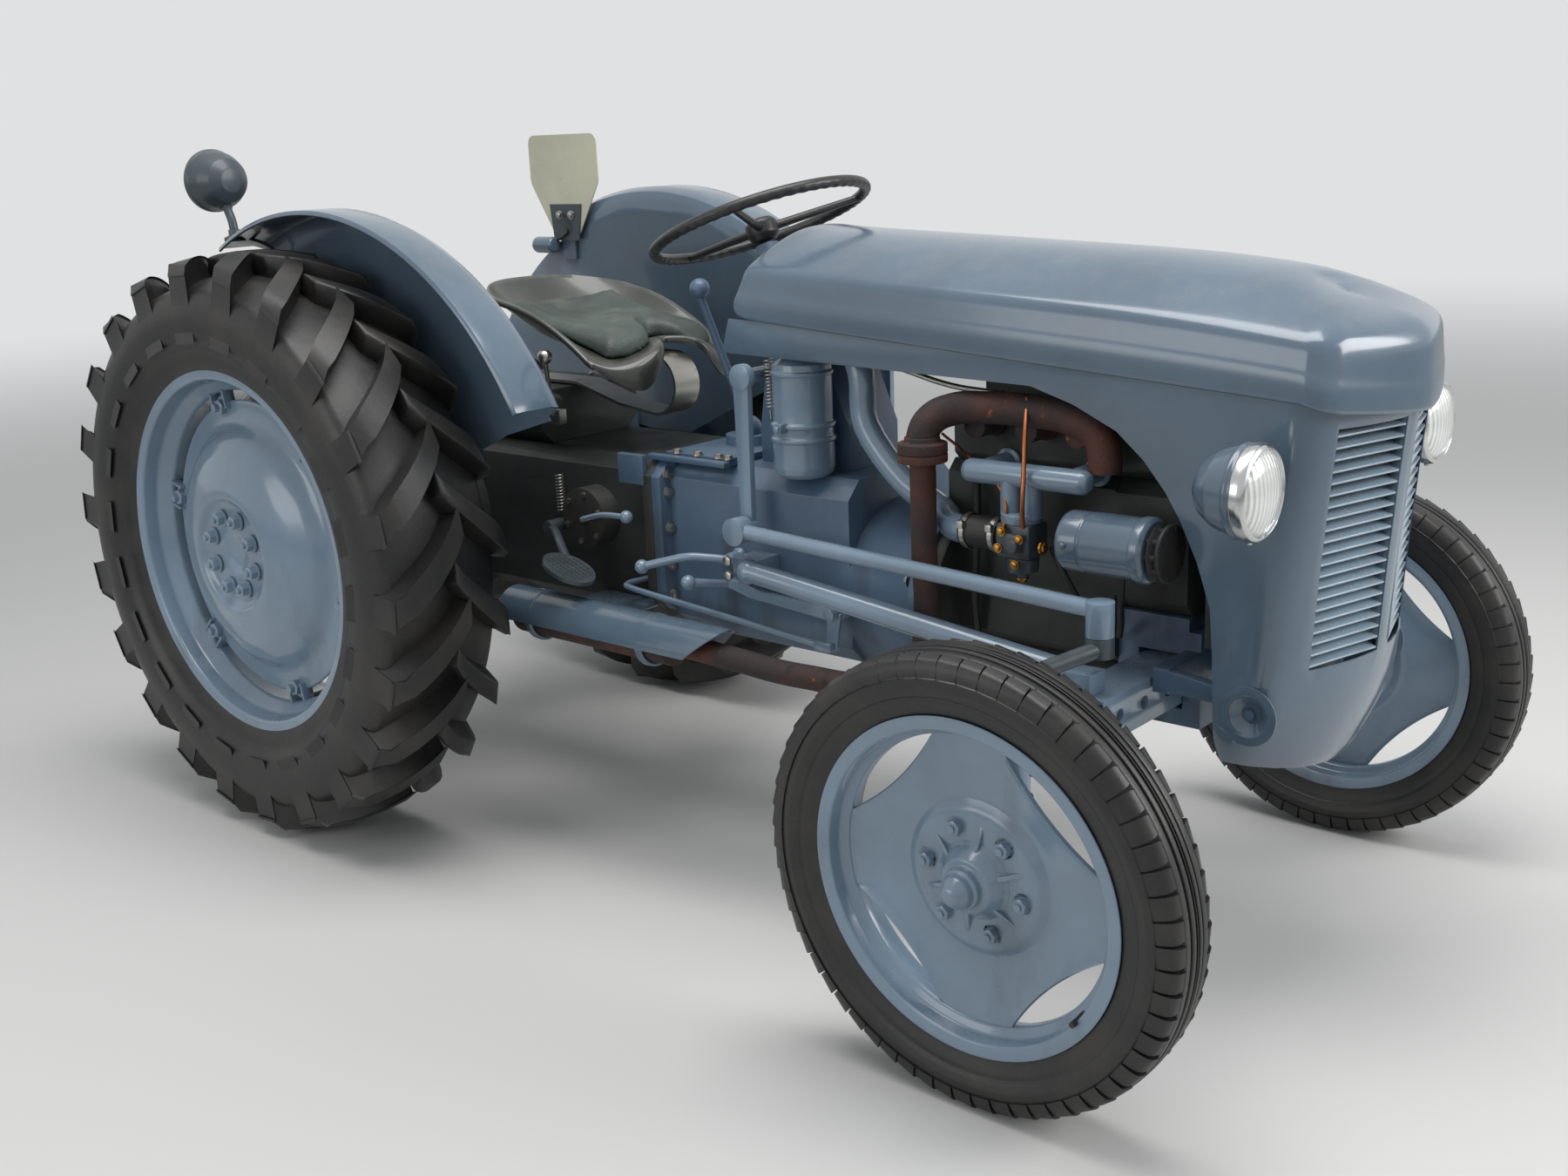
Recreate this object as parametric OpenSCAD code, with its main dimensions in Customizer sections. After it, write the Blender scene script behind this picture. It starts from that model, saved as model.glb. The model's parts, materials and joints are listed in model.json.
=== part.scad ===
// Vintage farm tractor, full size, in millimetres.
// Pieces are drawn from the middle of the rear axle on the ground, X forward, Y to the left,
// Z up, and at_origin() then moves them so that the middle of the whole length is at X = 0.

/* [Overall] */
// Distance from the rear axle to the front axle
wheelbase = 1778; // [1650:1:1900]
// Height of the engine, gearbox and axle centre line
axle_z = 602; // [590:1:620]
// Reach of the nose ahead of the rear axle
nose_x = 2149; // [2130:1:2200]
// Reach of the lower links behind the rear axle, to the middle of their eyes
link_reach = 745; // [700:1:800]

/* [Rear wheels] */
// Radius of the rear tyre over its lugs
rear_r = 602; // [590:1:615]
// Distance from the middle plane to the middle of a rear tyre
rear_half_track = 580; // [560:1:720]
// Width of the rear tyre
rear_width = 284; // [270:1:300]
// Height of a lug above the carcass
lug_h = 30; // [20:1:34]
// Number of lugs on each half of the tread
lug_count = 22; // [16:1:26]
// Radius of the rear rim flange
rear_rim_r = 378; // [370:1:385]
// Half of the width of the rear rim over its flanges
rear_rim_half = 112; // [105:1:120]
// Circle of the rear hub nuts
rear_stud_circle_r = 76; // [70:1:82]

/* [Front wheels] */
// Radius of the front tyre
front_r = 348; // [335:1:360]
// Distance from the middle plane to the middle of a front tyre
front_half_track = 633; // [600:1:680]
// Width of the front tyre
front_width = 112; // [104:1:120]
// Radius of the front rim flange
front_rim_r = 258; // [250:1:264]
// Half of the width of the front rim over its flanges
front_rim_half = 42; // [38:1:46]
// Lean of the front wheels, outward at the top
camber = 2; // [0:0.5:3]

/* [Front axle] */
// Distance from the middle plane to the kingpin
kingpin_y = 540; // [520:1:545]
// Length of a steering arm from the kingpin to its ball
steer_arm = 210; // [190:1:220]
// Radius of the kingpin
kingpin_r = 14; // [12:0.5:16]
// Height of the front axle beam centre line
beam_z = 505; // [490:1:520]

/* [Steering] */
// Radius of the steering wheel to the middle of its rim
wheel_rim_r = 211; // [200:1:216]
// Tilt of the steering wheel
wheel_tilt = 20.2; // [15:0.1:25]
// Length of a drop arm from its shaft to its ball
drop_arm_len = 297; // [290:1:300]
// Radius of the steering column tube
column_r = 22; // [20:1:26]

/* [Bonnet] */
// Thickness of the bonnet and nose sheet
sheet = 3; // [2:0.5:4]
// Half width of the bonnet at its rear
hood_half_rear = 203; // [195:1:210]
// Half width of the bonnet at its front
hood_half_front = 224; // [215:1:230]
// Height of the bonnet top at its rear
hood_top_z = 1218; // [1205:1:1225]
// Number of slats in each half of the grille
slat_count = 21; // [15:1:24]

/* [Fenders and seat] */
// Radius of a rear fender about its own centre
fender_r = 688; // [680:1:700]
// Distance from the middle plane to the inner face of a fender
fender_in = 415; // [405:1:420]
// Distance from the middle plane to the outer edge of a fender
fender_out = 530; // [500:1:545]

/* [Hidden] */
$fn = 48;
// Colours
paint = [0.42, 0.48, 0.54];
pale = [0.60, 0.64, 0.69];
dark = [0.22, 0.24, 0.25];
black = [0.08, 0.08, 0.08];
rust = [0.38, 0.20, 0.15];
steel = [0.62, 0.62, 0.60];
// Clearances
run_fit = 0.05;
seat_gap = 0.3;
// Middle of the whole length, which becomes X = 0
eye_r = 27;
mid_x = (nose_x - link_reach - eye_r) / 2;
// Joint between rear housing and gearbox, gearbox and engine
joint_x = 709;
bell_x = 1373;
block_top_z = 830;
gearbox_top_z = 775;
// Steering
drop_pivot = [985, 0, 960];
drop_ball = [985, 235, 960 - 280];
steer_x = wheelbase;
arm_eye = [steer_x + 20, kingpin_y - steer_arm, 620];
wheel_centre = [855, 0, 1222];
// Pivot of the bonnet
pivot = [1995, 0, 522];
pivot_r = 8;
ear_y = 212;
grille_in = 20;
grille_out = 172;
lamp = [2020, 325, 880];
// Lower links and lift
link_pivot = [40, 0, 400];
link_y = 225;
link_eye_y = 345;
lift_shaft = [-75, 0, 840];
lift_eye = [-326, 190, 796];
lift_drop = [-335, 282, 400];

module at_origin() {
  translate([-mid_x, 0, 0])
    children();
}
module both_sides() {
  children();
  mirror([0, 1, 0])
    children();
}
module right_side() {
  mirror([0, 1, 0])
    children();
}
module box(lo, hi) {
  translate(lo)
    cube(hi - lo);
}
module xcyl(x0, x1, r, y, z) {
  translate([x0, y, z])
    rotate([0, 90, 0])
      cylinder(h = x1 - x0, r = r);
}
module ycyl(y0, y1, r, x, z) {
  translate([x, y0, z])
    rotate([-90, 0, 0])
      cylinder(h = y1 - y0, r = r);
}
module zcyl(z0, z1, r, x, y) {
  translate([x, y, z0])
    cylinder(h = z1 - z0, r = r);
}
module rod(p, q, r) {
  d = q - p;
  translate(p)
    rotate([0, acos(d.z / norm(d)), atan2(d.y, d.x)])
      cylinder(h = norm(d), r = r);
}
// A smooth curve through a list of points, and a round tube along it
function curve_point(p, u) =
  let (
    i = min(floor(u), len(p) - 2), t = u - i, a = p[max(i - 1, 0)], b = p[i], c = p[i + 1],
    d = p[min(i + 2, len(p) - 1)]
  )
    0.5 * (2 * b + (c - a) * t + (2 * a - 5 * b + 4 * c - d) * t * t + (3 * b - a - 3 * c + d) * pow(t, 3));
module swept_tube(p, r, sides, steps = 4) {
  n = (len(p) - 1) * steps;
  pts = [
    for (i = [0 : n])
      let (
        q = curve_point(p, i / steps), ahead = curve_point(p, min(i + 0.5, n) / steps),
        behind = curve_point(p, max(i - 0.5, 0) / steps), d = (ahead - behind) / norm(ahead - behind),
        u = cross(d, [0, 1, 0]) / norm(cross(d, [0, 1, 0])), v = cross(u, d)
      )
        for (j = [0 : sides - 1])
          q + r * (u * cos(j * 360 / sides) + v * sin(j * 360 / sides))
  ];
  polyhedron(pts, [
    [for (j = [sides - 1 : -1 : 0]) j],
    [for (j = [0 : sides - 1]) n * sides + j],
    for (i = [0 : n - 1], j = [0 : sides - 1])
      let (a = i * sides + j, b = i * sides + (j + 1) % sides) each [
        [a, b + sides, a + sides],
        [a, b, b + sides]
      ]
  ]);
}
// A bar with an outline in the XZ plane, from y0 to y1
module slab(y0, y1, outline) {
  translate([0, y1, 0])
    rotate([90, 0, 0])
      linear_extrude(y1 - y0)
        polygon(outline);
}
// A bar with an outline in the YZ plane, from x0 to x1
module beam(x0, x1, outline) {
  translate([x0, 0, 0])
    rotate([90, 0, 90])
      linear_extrude(x1 - x0)
        polygon(outline);
}
// An outline with cut corners
function cut_box(y0, y1, z0, z1, c) = [
  [y0 + c, z0], [y1 - c, z0], [y1, z0 + c], [y1, z1 - c],
  [y1 - c, z1], [y0 + c, z1], [y0, z1 - c], [y0, z0 + c]
];
// A closed sheet between an outer and an inner grid of points
module sheet_solid(outer, inner) {
  n = len(outer);
  m = len(outer[0]);
  pts = [for (row = outer) each row, for (row = inner) each row];
  k = n * m;
  polyhedron(pts, [
    for (i = [0 : n - 2], j = [0 : m - 2]) each [
      [i * m + j, i * m + j + 1, (i + 1) * m + j + 1],
      [i * m + j, (i + 1) * m + j + 1, (i + 1) * m + j],
      [k + i * m + j, k + (i + 1) * m + j + 1, k + i * m + j + 1],
      [k + i * m + j, k + (i + 1) * m + j, k + (i + 1) * m + j + 1]
    ],
    for (i = [0 : n - 2]) each [
      [i * m, (i + 1) * m, k + (i + 1) * m],
      [i * m, k + (i + 1) * m, k + i * m],
      [i * m + m - 1, k + (i + 1) * m + m - 1, (i + 1) * m + m - 1],
      [i * m + m - 1, k + i * m + m - 1, k + (i + 1) * m + m - 1]
    ],
    for (j = [0 : m - 2]) each [
      [j, k + j + 1, j + 1],
      [j, k + j, k + j + 1],
      [(n - 1) * m + j, (n - 1) * m + j + 1, k + (n - 1) * m + j + 1],
      [(n - 1) * m + j, k + (n - 1) * m + j + 1, k + (n - 1) * m + j]
    ]
  ]);
}

// Chassis
module rear_housing() {
  color(dark)
    at_origin() {
      difference() {
        union() {
          beam(-230, joint_x - 24, cut_box(-150, 150, 440, gearbox_top_z - 8, 26));
          beam(joint_x - 24, joint_x - seat_gap, cut_box(-190, 190, 470, gearbox_top_z, 30));
          ycyl(-172, 172, 158, 0, axle_z);
          xcyl(-250, -230, 72, 0, 560);
          xcyl(-300, -250, 32, 0, 560);
          beam(link_pivot.x - 32, link_pivot.x + 32, cut_box(-190, 190, 370, 450, 14));
          ycyl(-196, -150, 62, 511, 640);
        }
        ycyl(-200, 200, 11 + run_fit, link_pivot.x, link_pivot.z);
      }
      both_sides() {
        ycyl(150, link_y + 24, 11, link_pivot.x, link_pivot.z);
        ycyl(link_y + 24, link_y + 30, 17, link_pivot.x, link_pivot.z);
      }
    }
}
module lift_cover() {
  color(dark)
    at_origin()
      difference() {
        union() {
          beam(-215, 340, cut_box(-140, 140, gearbox_top_z - 8 + seat_gap, 880, 30));
          beam(-230, -120, cut_box(-40, 40, gearbox_top_z - 8 + seat_gap, 930, 12));
          slab(-34, 34, [[-290, 800], [-200, 780], [-200, 900], [-270, 880], [-290, 850]]);
        }
        ycyl(-160, 160, 22 + run_fit, lift_shaft.x, lift_shaft.z);
        ycyl(-50, 50, 9.5, -262, 838);
        box([-300, -18, 790], [-228, 18, 900]);
      }
}
module axle_housings() {
  color(dark)
    at_origin()
      both_sides()
        difference() {
          translate([0, 0, axle_z])
            rotate([-90, 0, 0])
              rotate_extrude()
                polygon([
                  [0, 172 + seat_gap], [150, 172 + seat_gap], [150, 188], [118, 200], [84, 330],
                  [78, 396], [95, 404], [95, 440], [165, 440], [165, 446], [0, 446]
                ]);
          ycyl(398, 450, 25 + run_fit, 0, axle_z);
        }
}
module gearbox() {
  color(paint)
    at_origin() {
      beam(joint_x, joint_x + 24, cut_box(-190, 190, 470, gearbox_top_z, 30));
      beam(joint_x + 24, 1180, cut_box(-158, 158, 430, gearbox_top_z, 34));
      translate([1140, 0, 555])
        rotate([0, 90, 0])
          rotate_extrude()
            polygon([[0, 0], [165, 0], [178, 120], [196, 200], [215, 206], [215, 233 - seat_gap], [0, 233 - seat_gap]]);
    }
}
module gearbox_cover() {
  color(paint)
    at_origin() {
      translate([0, 0, gearbox_top_z + seat_gap])
        linear_extrude(14)
          polygon([[715, -150], [885, -150], [885, 150], [715, 150]]);
      zcyl(gearbox_top_z + 14, gearbox_top_z + 34, 46, 802, 0);
      translate([802, 0, gearbox_top_z + 44])
        sphere(r = 27);
      rod([802, 0, gearbox_top_z + 50], [735, -50, 1082], 8);
      translate([735, -50, 1097])
        sphere(r = 20);
    }
}
module steering_box() {
  color(paint)
    at_origin() {
      difference() {
        union() {
          slab(-72, 72, [
            [900, gearbox_top_z + seat_gap], [1120, gearbox_top_z + seat_gap], [1120, 850],
            [1060, 990], [1000, 1000], [930, 985], [915, 930], [900, 840]
          ]);
          ycyl(-105, 105, 30, drop_pivot.x, drop_pivot.z);
          translate(wheel_centre)
            rotate([0, -wheel_tilt, 0])
              translate([0, 0, -300])
                cylinder(h = 255, r = column_r);
        }
        ycyl(-121, -60, 14 + run_fit, drop_pivot.x, drop_pivot.z);
        ycyl(60, 121, 14 + run_fit, drop_pivot.x, drop_pivot.z);
        translate(wheel_centre)
          rotate([0, -wheel_tilt, 0])
            translate([0, 0, -121])
              cylinder(h = 80, r = 11 + run_fit);
      }
    }
}
module dash_panel() {
  color(paint)
    at_origin()
      union() {
        beam(1026, 1030, [
          [-186, 1004], [186, 1004], [186, 1110], [168, 1150], [140, 1174], [-140, 1174],
          [-168, 1150], [-186, 1110]
        ]);
        box([1000, -60, 1000 + seat_gap], [1060, 60, 1006]);
      }
}
module fuel_tank() {
  color(dark)
    at_origin() {
      beam(1070, 1560, cut_box(-165, 165, 1064, 1158, 30));
      box([1072, -60, 1000 + seat_gap], [1100, 60, 1065]);
      box([1480, -50, 985 + seat_gap], [1520, 50, 1065]);
    }
}
module engine_block() {
  color(dark)
    at_origin() {
      beam(bell_x, 1700, cut_box(-118, 118, 517, block_top_z, 20));
      beam(bell_x, 1690, cut_box(-110, 110, 385, 518, 30));
      beam(1699, 1830, cut_box(-118, 118, 612, block_top_z, 24));
      xcyl(1829, 1858, 62, 0, 660);
      xcyl(bell_x, bell_x + 24, 205, 0, 555);
      xcyl(1829, 1850, 40, 0, 790);
    }
}
module cylinder_head() {
  color(dark)
    at_origin() {
      beam(1385, 1820, cut_box(-118, 118, block_top_z + seat_gap, 915, 14));
      beam(1415, 1795, cut_box(-66, 66, 914, 985, 18));
    }
}
module exhaust_manifold() {
  color(rust)
    at_origin() {
      xcyl(1402, 1700, 27, -232, 908);
      translate([1700, -232, 908])
        sphere(r = 27);
      translate([1402, -232, 908])
        sphere(r = 27);
      zcyl(863 + seat_gap, 908, 27, 1402, -232);
      zcyl(863 + seat_gap, 878, 42, 1402, -232);
      for (x = [1450, 1570, 1680])
        ycyl(-232, -118 - seat_gap, 22, x, 893);
    }
}
module exhaust_pipe() {
  color([0.24, 0.20, 0.21])
    at_origin() {
      swept_tube([
        [1402, -232, 862], [1402, -232, 700], [1402, -232, 560], [1390, -240, 488], [1320, -268, 454],
        [1190, -312, 458], [1010, -330, 468]
      ], 22, 12);
      zcyl(848, 863, 42, 1402, -232);
      xcyl(470, 1020, 42, -330, 470);
      xcyl(380, 471, 20, -330, 470);
    }
}
module intake() {
  color(pale)
    at_origin() {
      xcyl(1462, 1701, 20, -196, 846);
      for (x = [1490, 1670])
        ycyl(-196, -118 - seat_gap, 18, x, 846);
      zcyl(786, 850, 20, 1580, -200);
      zcyl(778, 790, 36, 1580, -200);
      box([1548, -236, 700], [1612, -172, 779]);
      zcyl(672, 701, 30, 1580, -204);
      ycyl(-230, -180, 18, 1522, 735);
      xcyl(1500, 1549, 21, -205, 735);
    }
}
module air_cleaner() {
  color(pale)
    at_origin() {
      zcyl(gearbox_top_z + seat_gap, 1000, 57, 1066, -140);
      zcyl(860, 872, 60, 1066, -140);
      zcyl(930, 936, 60, 1066, -140);
      zcyl(1000, 1052, 31.7, 1066, -140);
    }
}
module air_pipe() {
  color(pale)
    at_origin()
      swept_tube([
        [1100, -140, 1026], [1172, -141, 1026], [1208, -146, 970], [1222, -152, 880], [1300, -150, 790],
        [1376, -146, 748], [1432, -192, 736], [1466, -205, 735], [1498.8, -205, 735]
      ], 24, 12);
}
module dynamo() {
  color(paint)
    at_origin() {
      xcyl(1684, 1824, 48, -230, 750);
      xcyl(1836, 1856, 42, -230, 750);
      xcyl(1823, 1837, 12, -230, 750);
      box([1700, -200, 735], [1810, -118 - seat_gap, 765]);
    }
}
module fan_belt() {
  color(black)
    at_origin() {
      xcyl(1858.3, 1880, 62, 0, 500 + 160);
      xcyl(1850.3, 1862, 60, 0, 790);
      for (a = [0, 90, 180, 270])
        translate([1873, 0, 790])
          rotate([a, 0, 0])
            rotate([0, 0, 15])
              box([-3, -24, 20], [3, 24, 165]);
      xcyl(1860, 1883, 30, 0, 790);
    }
}
module radiator() {
  color(black)
    at_origin() {
      box([1900, -195, 600], [1970, 195, 1060]);
      beam(1895, 1975, cut_box(-170, 170, 1059, 1110, 20));
      box([1880, -60, 560 + seat_gap], [1960, 60, 601]);
    }
}
module front_support() {
  color(paint)
    at_origin()
      difference() {
        union() {
          slab(-105, 105, [
            [1700 + seat_gap, 430], [1850, 430], [1850, 590], [1828, 590], [1828, 612 - seat_gap],
            [1700 + seat_gap, 612 - seat_gap]
          ]);
          box([1849, -70, 520], [1960, 70, 560]);
          both_sides()
            slab(190, ear_y, [[1830, 524], [1940, 520], [1985, 508], [2006, 510], [2012, 522], [2005, 538], [1830, 560]]);
          box([1822, -ear_y, 520], [1850, ear_y, 560]);
          ycyl(ear_y, 236, pivot_r, pivot.x, pivot.z);
          ycyl(-236, -ear_y, pivot_r, pivot.x, pivot.z);
        }
        box([1738, -110, beam_z - 46], [1818, 110, beam_z + 46]);
      }
}
module front_axle() {
  color(pale)
    at_origin()
      difference() {
        union() {
          box([1739, -350, beam_z - 36], [1817, 350, beam_z + 36]);
          both_sides() {
            box([1748, 330, beam_z - 28], [1808, kingpin_y - 10, beam_z + 28]);
            zcyl(452, 600, 28, steer_x, kingpin_y);
          }
        }
        for (y = [-300 : 75 : 300])
          xcyl(1735, 1821, 11, y, beam_z);
        both_sides()
          zcyl(440, 610, kingpin_r + run_fit, steer_x, kingpin_y);
      }
}
module radius_rods() {
  color(pale)
    at_origin()
      both_sides() {
        rod([1000, 232, 603], [1745, 322, beam_z + 60], 20);
        translate([1000, 232, 603])
          sphere(r = 24);
        box([950, 158 + seat_gap, 585], [1010, 222, 622]);
        box([1725, 300, beam_z + 36 + seat_gap], [1790, 345, beam_z + 70]);
      }
}
module seat_pan() {
  color(black)
    at_origin()
      sheet_solid(seat_grid(0), seat_grid(5));
}
// The seat pan: rows run from the back to the front
function seat_grid(down) = [
  for (i = [0 : 10]) [
    for (j = [0 : 12])
      let (s = i / 10, u = (j - 6) / 6, half = 215 * sqrt(1 - pow(max(0, abs(s - 0.45) - 0.2) / 0.42, 2) * 0.45))
        [
          300 + 430 * s,
          half * u,
          960 - down - 40 * s + 150 * pow(max(0, 1 - s * 2.4), 2) + 70 * pow(abs(u), 3)
        ]
  ]
];
module seat_spring() {
  color(steel)
    at_origin()
      slab(-35, 35, [
        [250, 880 + seat_gap], [420, 880 + seat_gap], [560, 812], [640, 812], [690, 850], [700, 890],
        [670, 912], [620, 924.9], [560, 930.5], [560, 919], [616, 914], [658, 903], [688, 882],
        [678, 856], [635, 824], [564, 824], [424, 892], [250, 892]
      ]);
}
module fenders() {
  color(paint)
    at_origin()
      both_sides() {
        translate([124, fender_in, 587])
          rotate([90, 0, 0])
            mirror([0, 0, 1])
              rotate([0, 0, 29])
                rotate_extrude(angle = 88, $fn = 180)
                  polygon([
                    [fender_r - 40, 0], [fender_r - 12, 8], [fender_r - 3, 30],
                    [fender_r - 3, fender_out - fender_in - 8], [fender_r - 10, fender_out - fender_in - 4],
                    [fender_r - 8, fender_out - fender_in], [fender_r, fender_out - fender_in - 4],
                    [fender_r, 28], [fender_r - 10, 4], [fender_r - 38, -3], [fender_r - 60, -3],
                    [fender_r - 60, 0]
                  ]);
        difference() {
          intersection() {
            translate([124, fender_in - 0.4, 587])
              rotate([90, 0, 0])
                cylinder(h = 2.2, r = fender_r - 50, $fn = 180);
            slab(fender_in - 4, fender_in + 1, [
              [-420, 900], [-207, 794], [-90, 730], [100, 700], [235, 700], [438, 796],
              [560, 850], [730, 900], [730, 1400], [-420, 1400]
            ]);
          }
          box([-70, fender_in - 10, 690], [70, fender_in + 5, 704]);
        }
        box([-60, 404, 697 + seat_gap], [60, fender_in - 3 - seat_gap, 760]);
      }
}
module work_lamp() {
  color(dark)
    at_origin() {
      zcyl(1217.3, 1290, 12, -165, -500);
      translate([-199, -500, 1342])
        rotate([0, -90, 0])
          rotate_extrude()
            polygon([[0, -62], [30, -58], [55, -42], [70, -10], [76, 20], [76, 40], [70, 44], [0, 48]]);
    }
}
module number_board() {
  color([0.74, 0.73, 0.62])
    at_origin() {
      box([-264, 400, 1168], [-14, 404, 1408]);
      box([-160, 403, 1150], [-120, 409, 1230]);
      box([-160, 403, 1100], [-120, fender_in - 3 - seat_gap, 1151]);
    }
}
module brake_pedals() {
  color(dark)
    at_origin() {
      translate([600, -330, 570])
        rotate([0, 20, 0])
          linear_extrude(8)
            scale([1.4, 1])
              circle(r = 45);
      rod([600, -310, 568], [560, -200, 520], 9);
      rod([560, -210, 520], [560, -150 - seat_gap, 520], 14);
    }
}
module foot_rests() {
  color(paint)
    at_origin() {
      both_sides()
        box([520, 150 + seat_gap, 470], [680, 284, 480]);
      translate([470, -330, 470])
        rotate([0, 90, 0])
          difference() {
            cylinder(h = 550, r = 42 + seat_gap + 3);
            translate([0, 0, -1])
              cylinder(h = 552, r = 42 + seat_gap);
            translate([0, -70, -1])
              cube([80, 140, 552]);
          }
    }
}
module control_quadrant() {
  color(steel)
    at_origin() {
      box([300, -160, 820], [420, -140 - seat_gap, 850]);
      rod([400, -160, 840], [435, -200, 781 + 180], 5);
      translate([435, -200, 966])
        sphere(r = 15);
    }
}

// Steering
module steering_wheel() {
  color(black)
    at_origin()
      translate(wheel_centre)
        rotate([0, -wheel_tilt, 0]) {
          rotate_extrude()
            translate([wheel_rim_r, 0])
              circle(r = 11, $fn = 24);
          for (a = [60, 180, 300])
            rotate([0, 0, a])
              rod([20, 0, -14], [wheel_rim_r - 4, 0, -2], 7);
          translate([0, 0, -36])
            cylinder(h = 40, r = 30);
          translate([0, 0, -120])
            cylinder(h = 100, r = 11);
        }
}
module drop_arm() {
  ycyl(62, 203, 14, drop_pivot.x, drop_pivot.z);
  ycyl(203, 220, 24, drop_pivot.x, drop_pivot.z);
  slab(205, 218, [
    [drop_pivot.x - 18, drop_pivot.z], [drop_ball.x - 13, drop_ball.z],
    [drop_ball.x + 13, drop_ball.z], [drop_pivot.x + 18, drop_pivot.z]
  ]);
  ycyl(205, 218, 20, drop_ball.x, drop_ball.z);
  ycyl(216, drop_ball.y - 10 - seat_gap, 9, drop_ball.x, drop_ball.z);
}
module drop_arm_left() {
  color(pale)
    at_origin()
      drop_arm();
}
module drop_arm_right() {
  color(pale)
    at_origin()
      right_side()
        drop_arm();
}
module drag_link() {
  difference() {
    union() {
      ycyl(drop_ball.y - 10, drop_ball.y + 22, 26, drop_ball.x, drop_ball.z);
      rod(drop_ball + [20, 6, 0], [arm_eye.x - 16, arm_eye.y - 2, 676], 14);
      zcyl(636, 690, 22, arm_eye.x, arm_eye.y);
    }
  }
}
module drag_link_left() {
  color(pale)
    at_origin()
      drag_link();
}
module drag_link_right() {
  color(pale)
    at_origin()
      right_side()
        drag_link();
}
module knuckle() {
  zcyl(380, 640, kingpin_r, steer_x, kingpin_y);
  zcyl(606, 634, 30, steer_x, kingpin_y);
  zcyl(320, 444, 32, steer_x, kingpin_y);
  rod([steer_x, kingpin_y, 618], [arm_eye.x, arm_eye.y, 616], 13);
  zcyl(604, 635, 22, arm_eye.x, arm_eye.y);
  wheel_place()
    ycyl(-kingpin_gap(), -18, 16, 0, 0);
}
function kingpin_gap() = front_half_track - kingpin_y;
module wheel_place() {
  translate([wheelbase, front_half_track, front_r])
    rotate([-camber, 0, 0])
      children();
}
module knuckle_left() {
  color(dark)
    at_origin()
      knuckle();
}
module knuckle_right() {
  color(dark)
    at_origin()
      right_side()
        knuckle();
}

// Wheels
module turned(outline) {
  rotate([-90, 0, 0])
    rotate_extrude($fn = 96)
      polygon(outline);
}
module front_tyre() {
  half = front_width / 2;
  at_origin_wheel()
    turned([
      [front_rim_r - 17, 30], [front_rim_r - 16.5, front_rim_half - 8], [front_rim_r + 6, front_rim_half - 5],
      [front_rim_r + 24, half - 6], [front_rim_r + 46, half], [front_r - 26, half - 2], [front_r - 10, half - 12],
      [front_r - 2, half - 24], [front_r - 0.4, 18], [front_r - 9, 17], [front_r - 9, 12], [front_r, 11],
      [front_r, -11], [front_r - 9, -12], [front_r - 9, -17], [front_r - 0.4, -18], [front_r - 2, -half + 24],
      [front_r - 10, -half + 12], [front_r - 26, -half + 2], [front_rim_r + 46, -half],
      [front_rim_r + 24, -half + 6], [front_rim_r + 6, -front_rim_half + 5],
      [front_rim_r - 16.5, -front_rim_half + 8], [front_rim_r - 17, -30]
    ]);
}
module at_origin_wheel() {
  at_origin()
    wheel_place()
      children();
}
module front_tyre_left() {
  color(black)
    front_tyre();
}
module front_tyre_right() {
  color(black)
    right_side()
      front_tyre();
}
module front_wheel() {
  at_origin_wheel()
    difference() {
      union() {
        turned([
          [front_rim_r, front_rim_half], [front_rim_r, front_rim_half - 4], [front_rim_r - 17.3, front_rim_half - 6],
          [front_rim_r - 18, 20], [front_rim_r - 32, 12], [front_rim_r - 32, -12], [front_rim_r - 18, -20],
          [front_rim_r - 17.3, -front_rim_half + 6], [front_rim_r, -front_rim_half + 4],
          [front_rim_r, -front_rim_half], [front_rim_r - 22, -front_rim_half + 2], [front_rim_r - 23, -17],
          [front_rim_r - 37, -9], [front_rim_r - 37, 9], [front_rim_r - 23, 17],
          [front_rim_r - 22, front_rim_half - 2]
        ]);
        difference() {
          turned([
            [40, -16], [78, -16], [front_rim_r - 35, -4], [front_rim_r - 35, 2], [76, -10], [40, -10]
          ]);
          for (a = [45, 135, 225, 315])
            rotate([0, a, 0])
              translate([front_rim_r + 12, 0, 0])
                ycyl(-24, 12, 78, 0, 0);
        }
        turned([
          [0, -55], [46, -55], [46, -20], [58, -18], [58, -4], [46, 2], [40, 26], [26, 30],
          [24, 46], [0, 46]
        ]);
      }
      ycyl(-60, -16, 16 + run_fit, 0, 0);
    }
}
module front_wheel_left() {
  color(pale)
    front_wheel();
}
module front_wheel_right() {
  color(pale)
    right_side()
      front_wheel();
}
// One point of the rear tyre: across the tread, round the tyre and out from its axle
function on_tyre(y, a, r) = [r * cos(a), r * sin(a), y];
module lug_bar(side, a0) {
  stations = [
    [-10, 0, rear_r, rear_r - 40, 2.3], [66, 6.8, rear_r - 3, rear_r - 48, 2.6],
    [140, 13.5, rear_r - 26, rear_r - 96, 2.8]
  ];
  for (i = [0 : 1])
    hull()
      polyhedron(
        [
          for (s = [stations[i], stations[i + 1]]) each [
            on_tyre(side * s[0], a0 - s[1] - s[4] * 1.25, s[3]), on_tyre(side * s[0], a0 - s[1] + s[4] * 1.25, s[3]),
            on_tyre(side * s[0], a0 - s[1] + s[4], s[2]), on_tyre(side * s[0], a0 - s[1] - s[4], s[2])
          ]
        ],
        [[0, 1, 2, 3], [7, 6, 5, 4], [0, 4, 5, 1], [1, 5, 6, 2], [2, 6, 7, 3], [3, 7, 4, 0]]
      );
}
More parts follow.
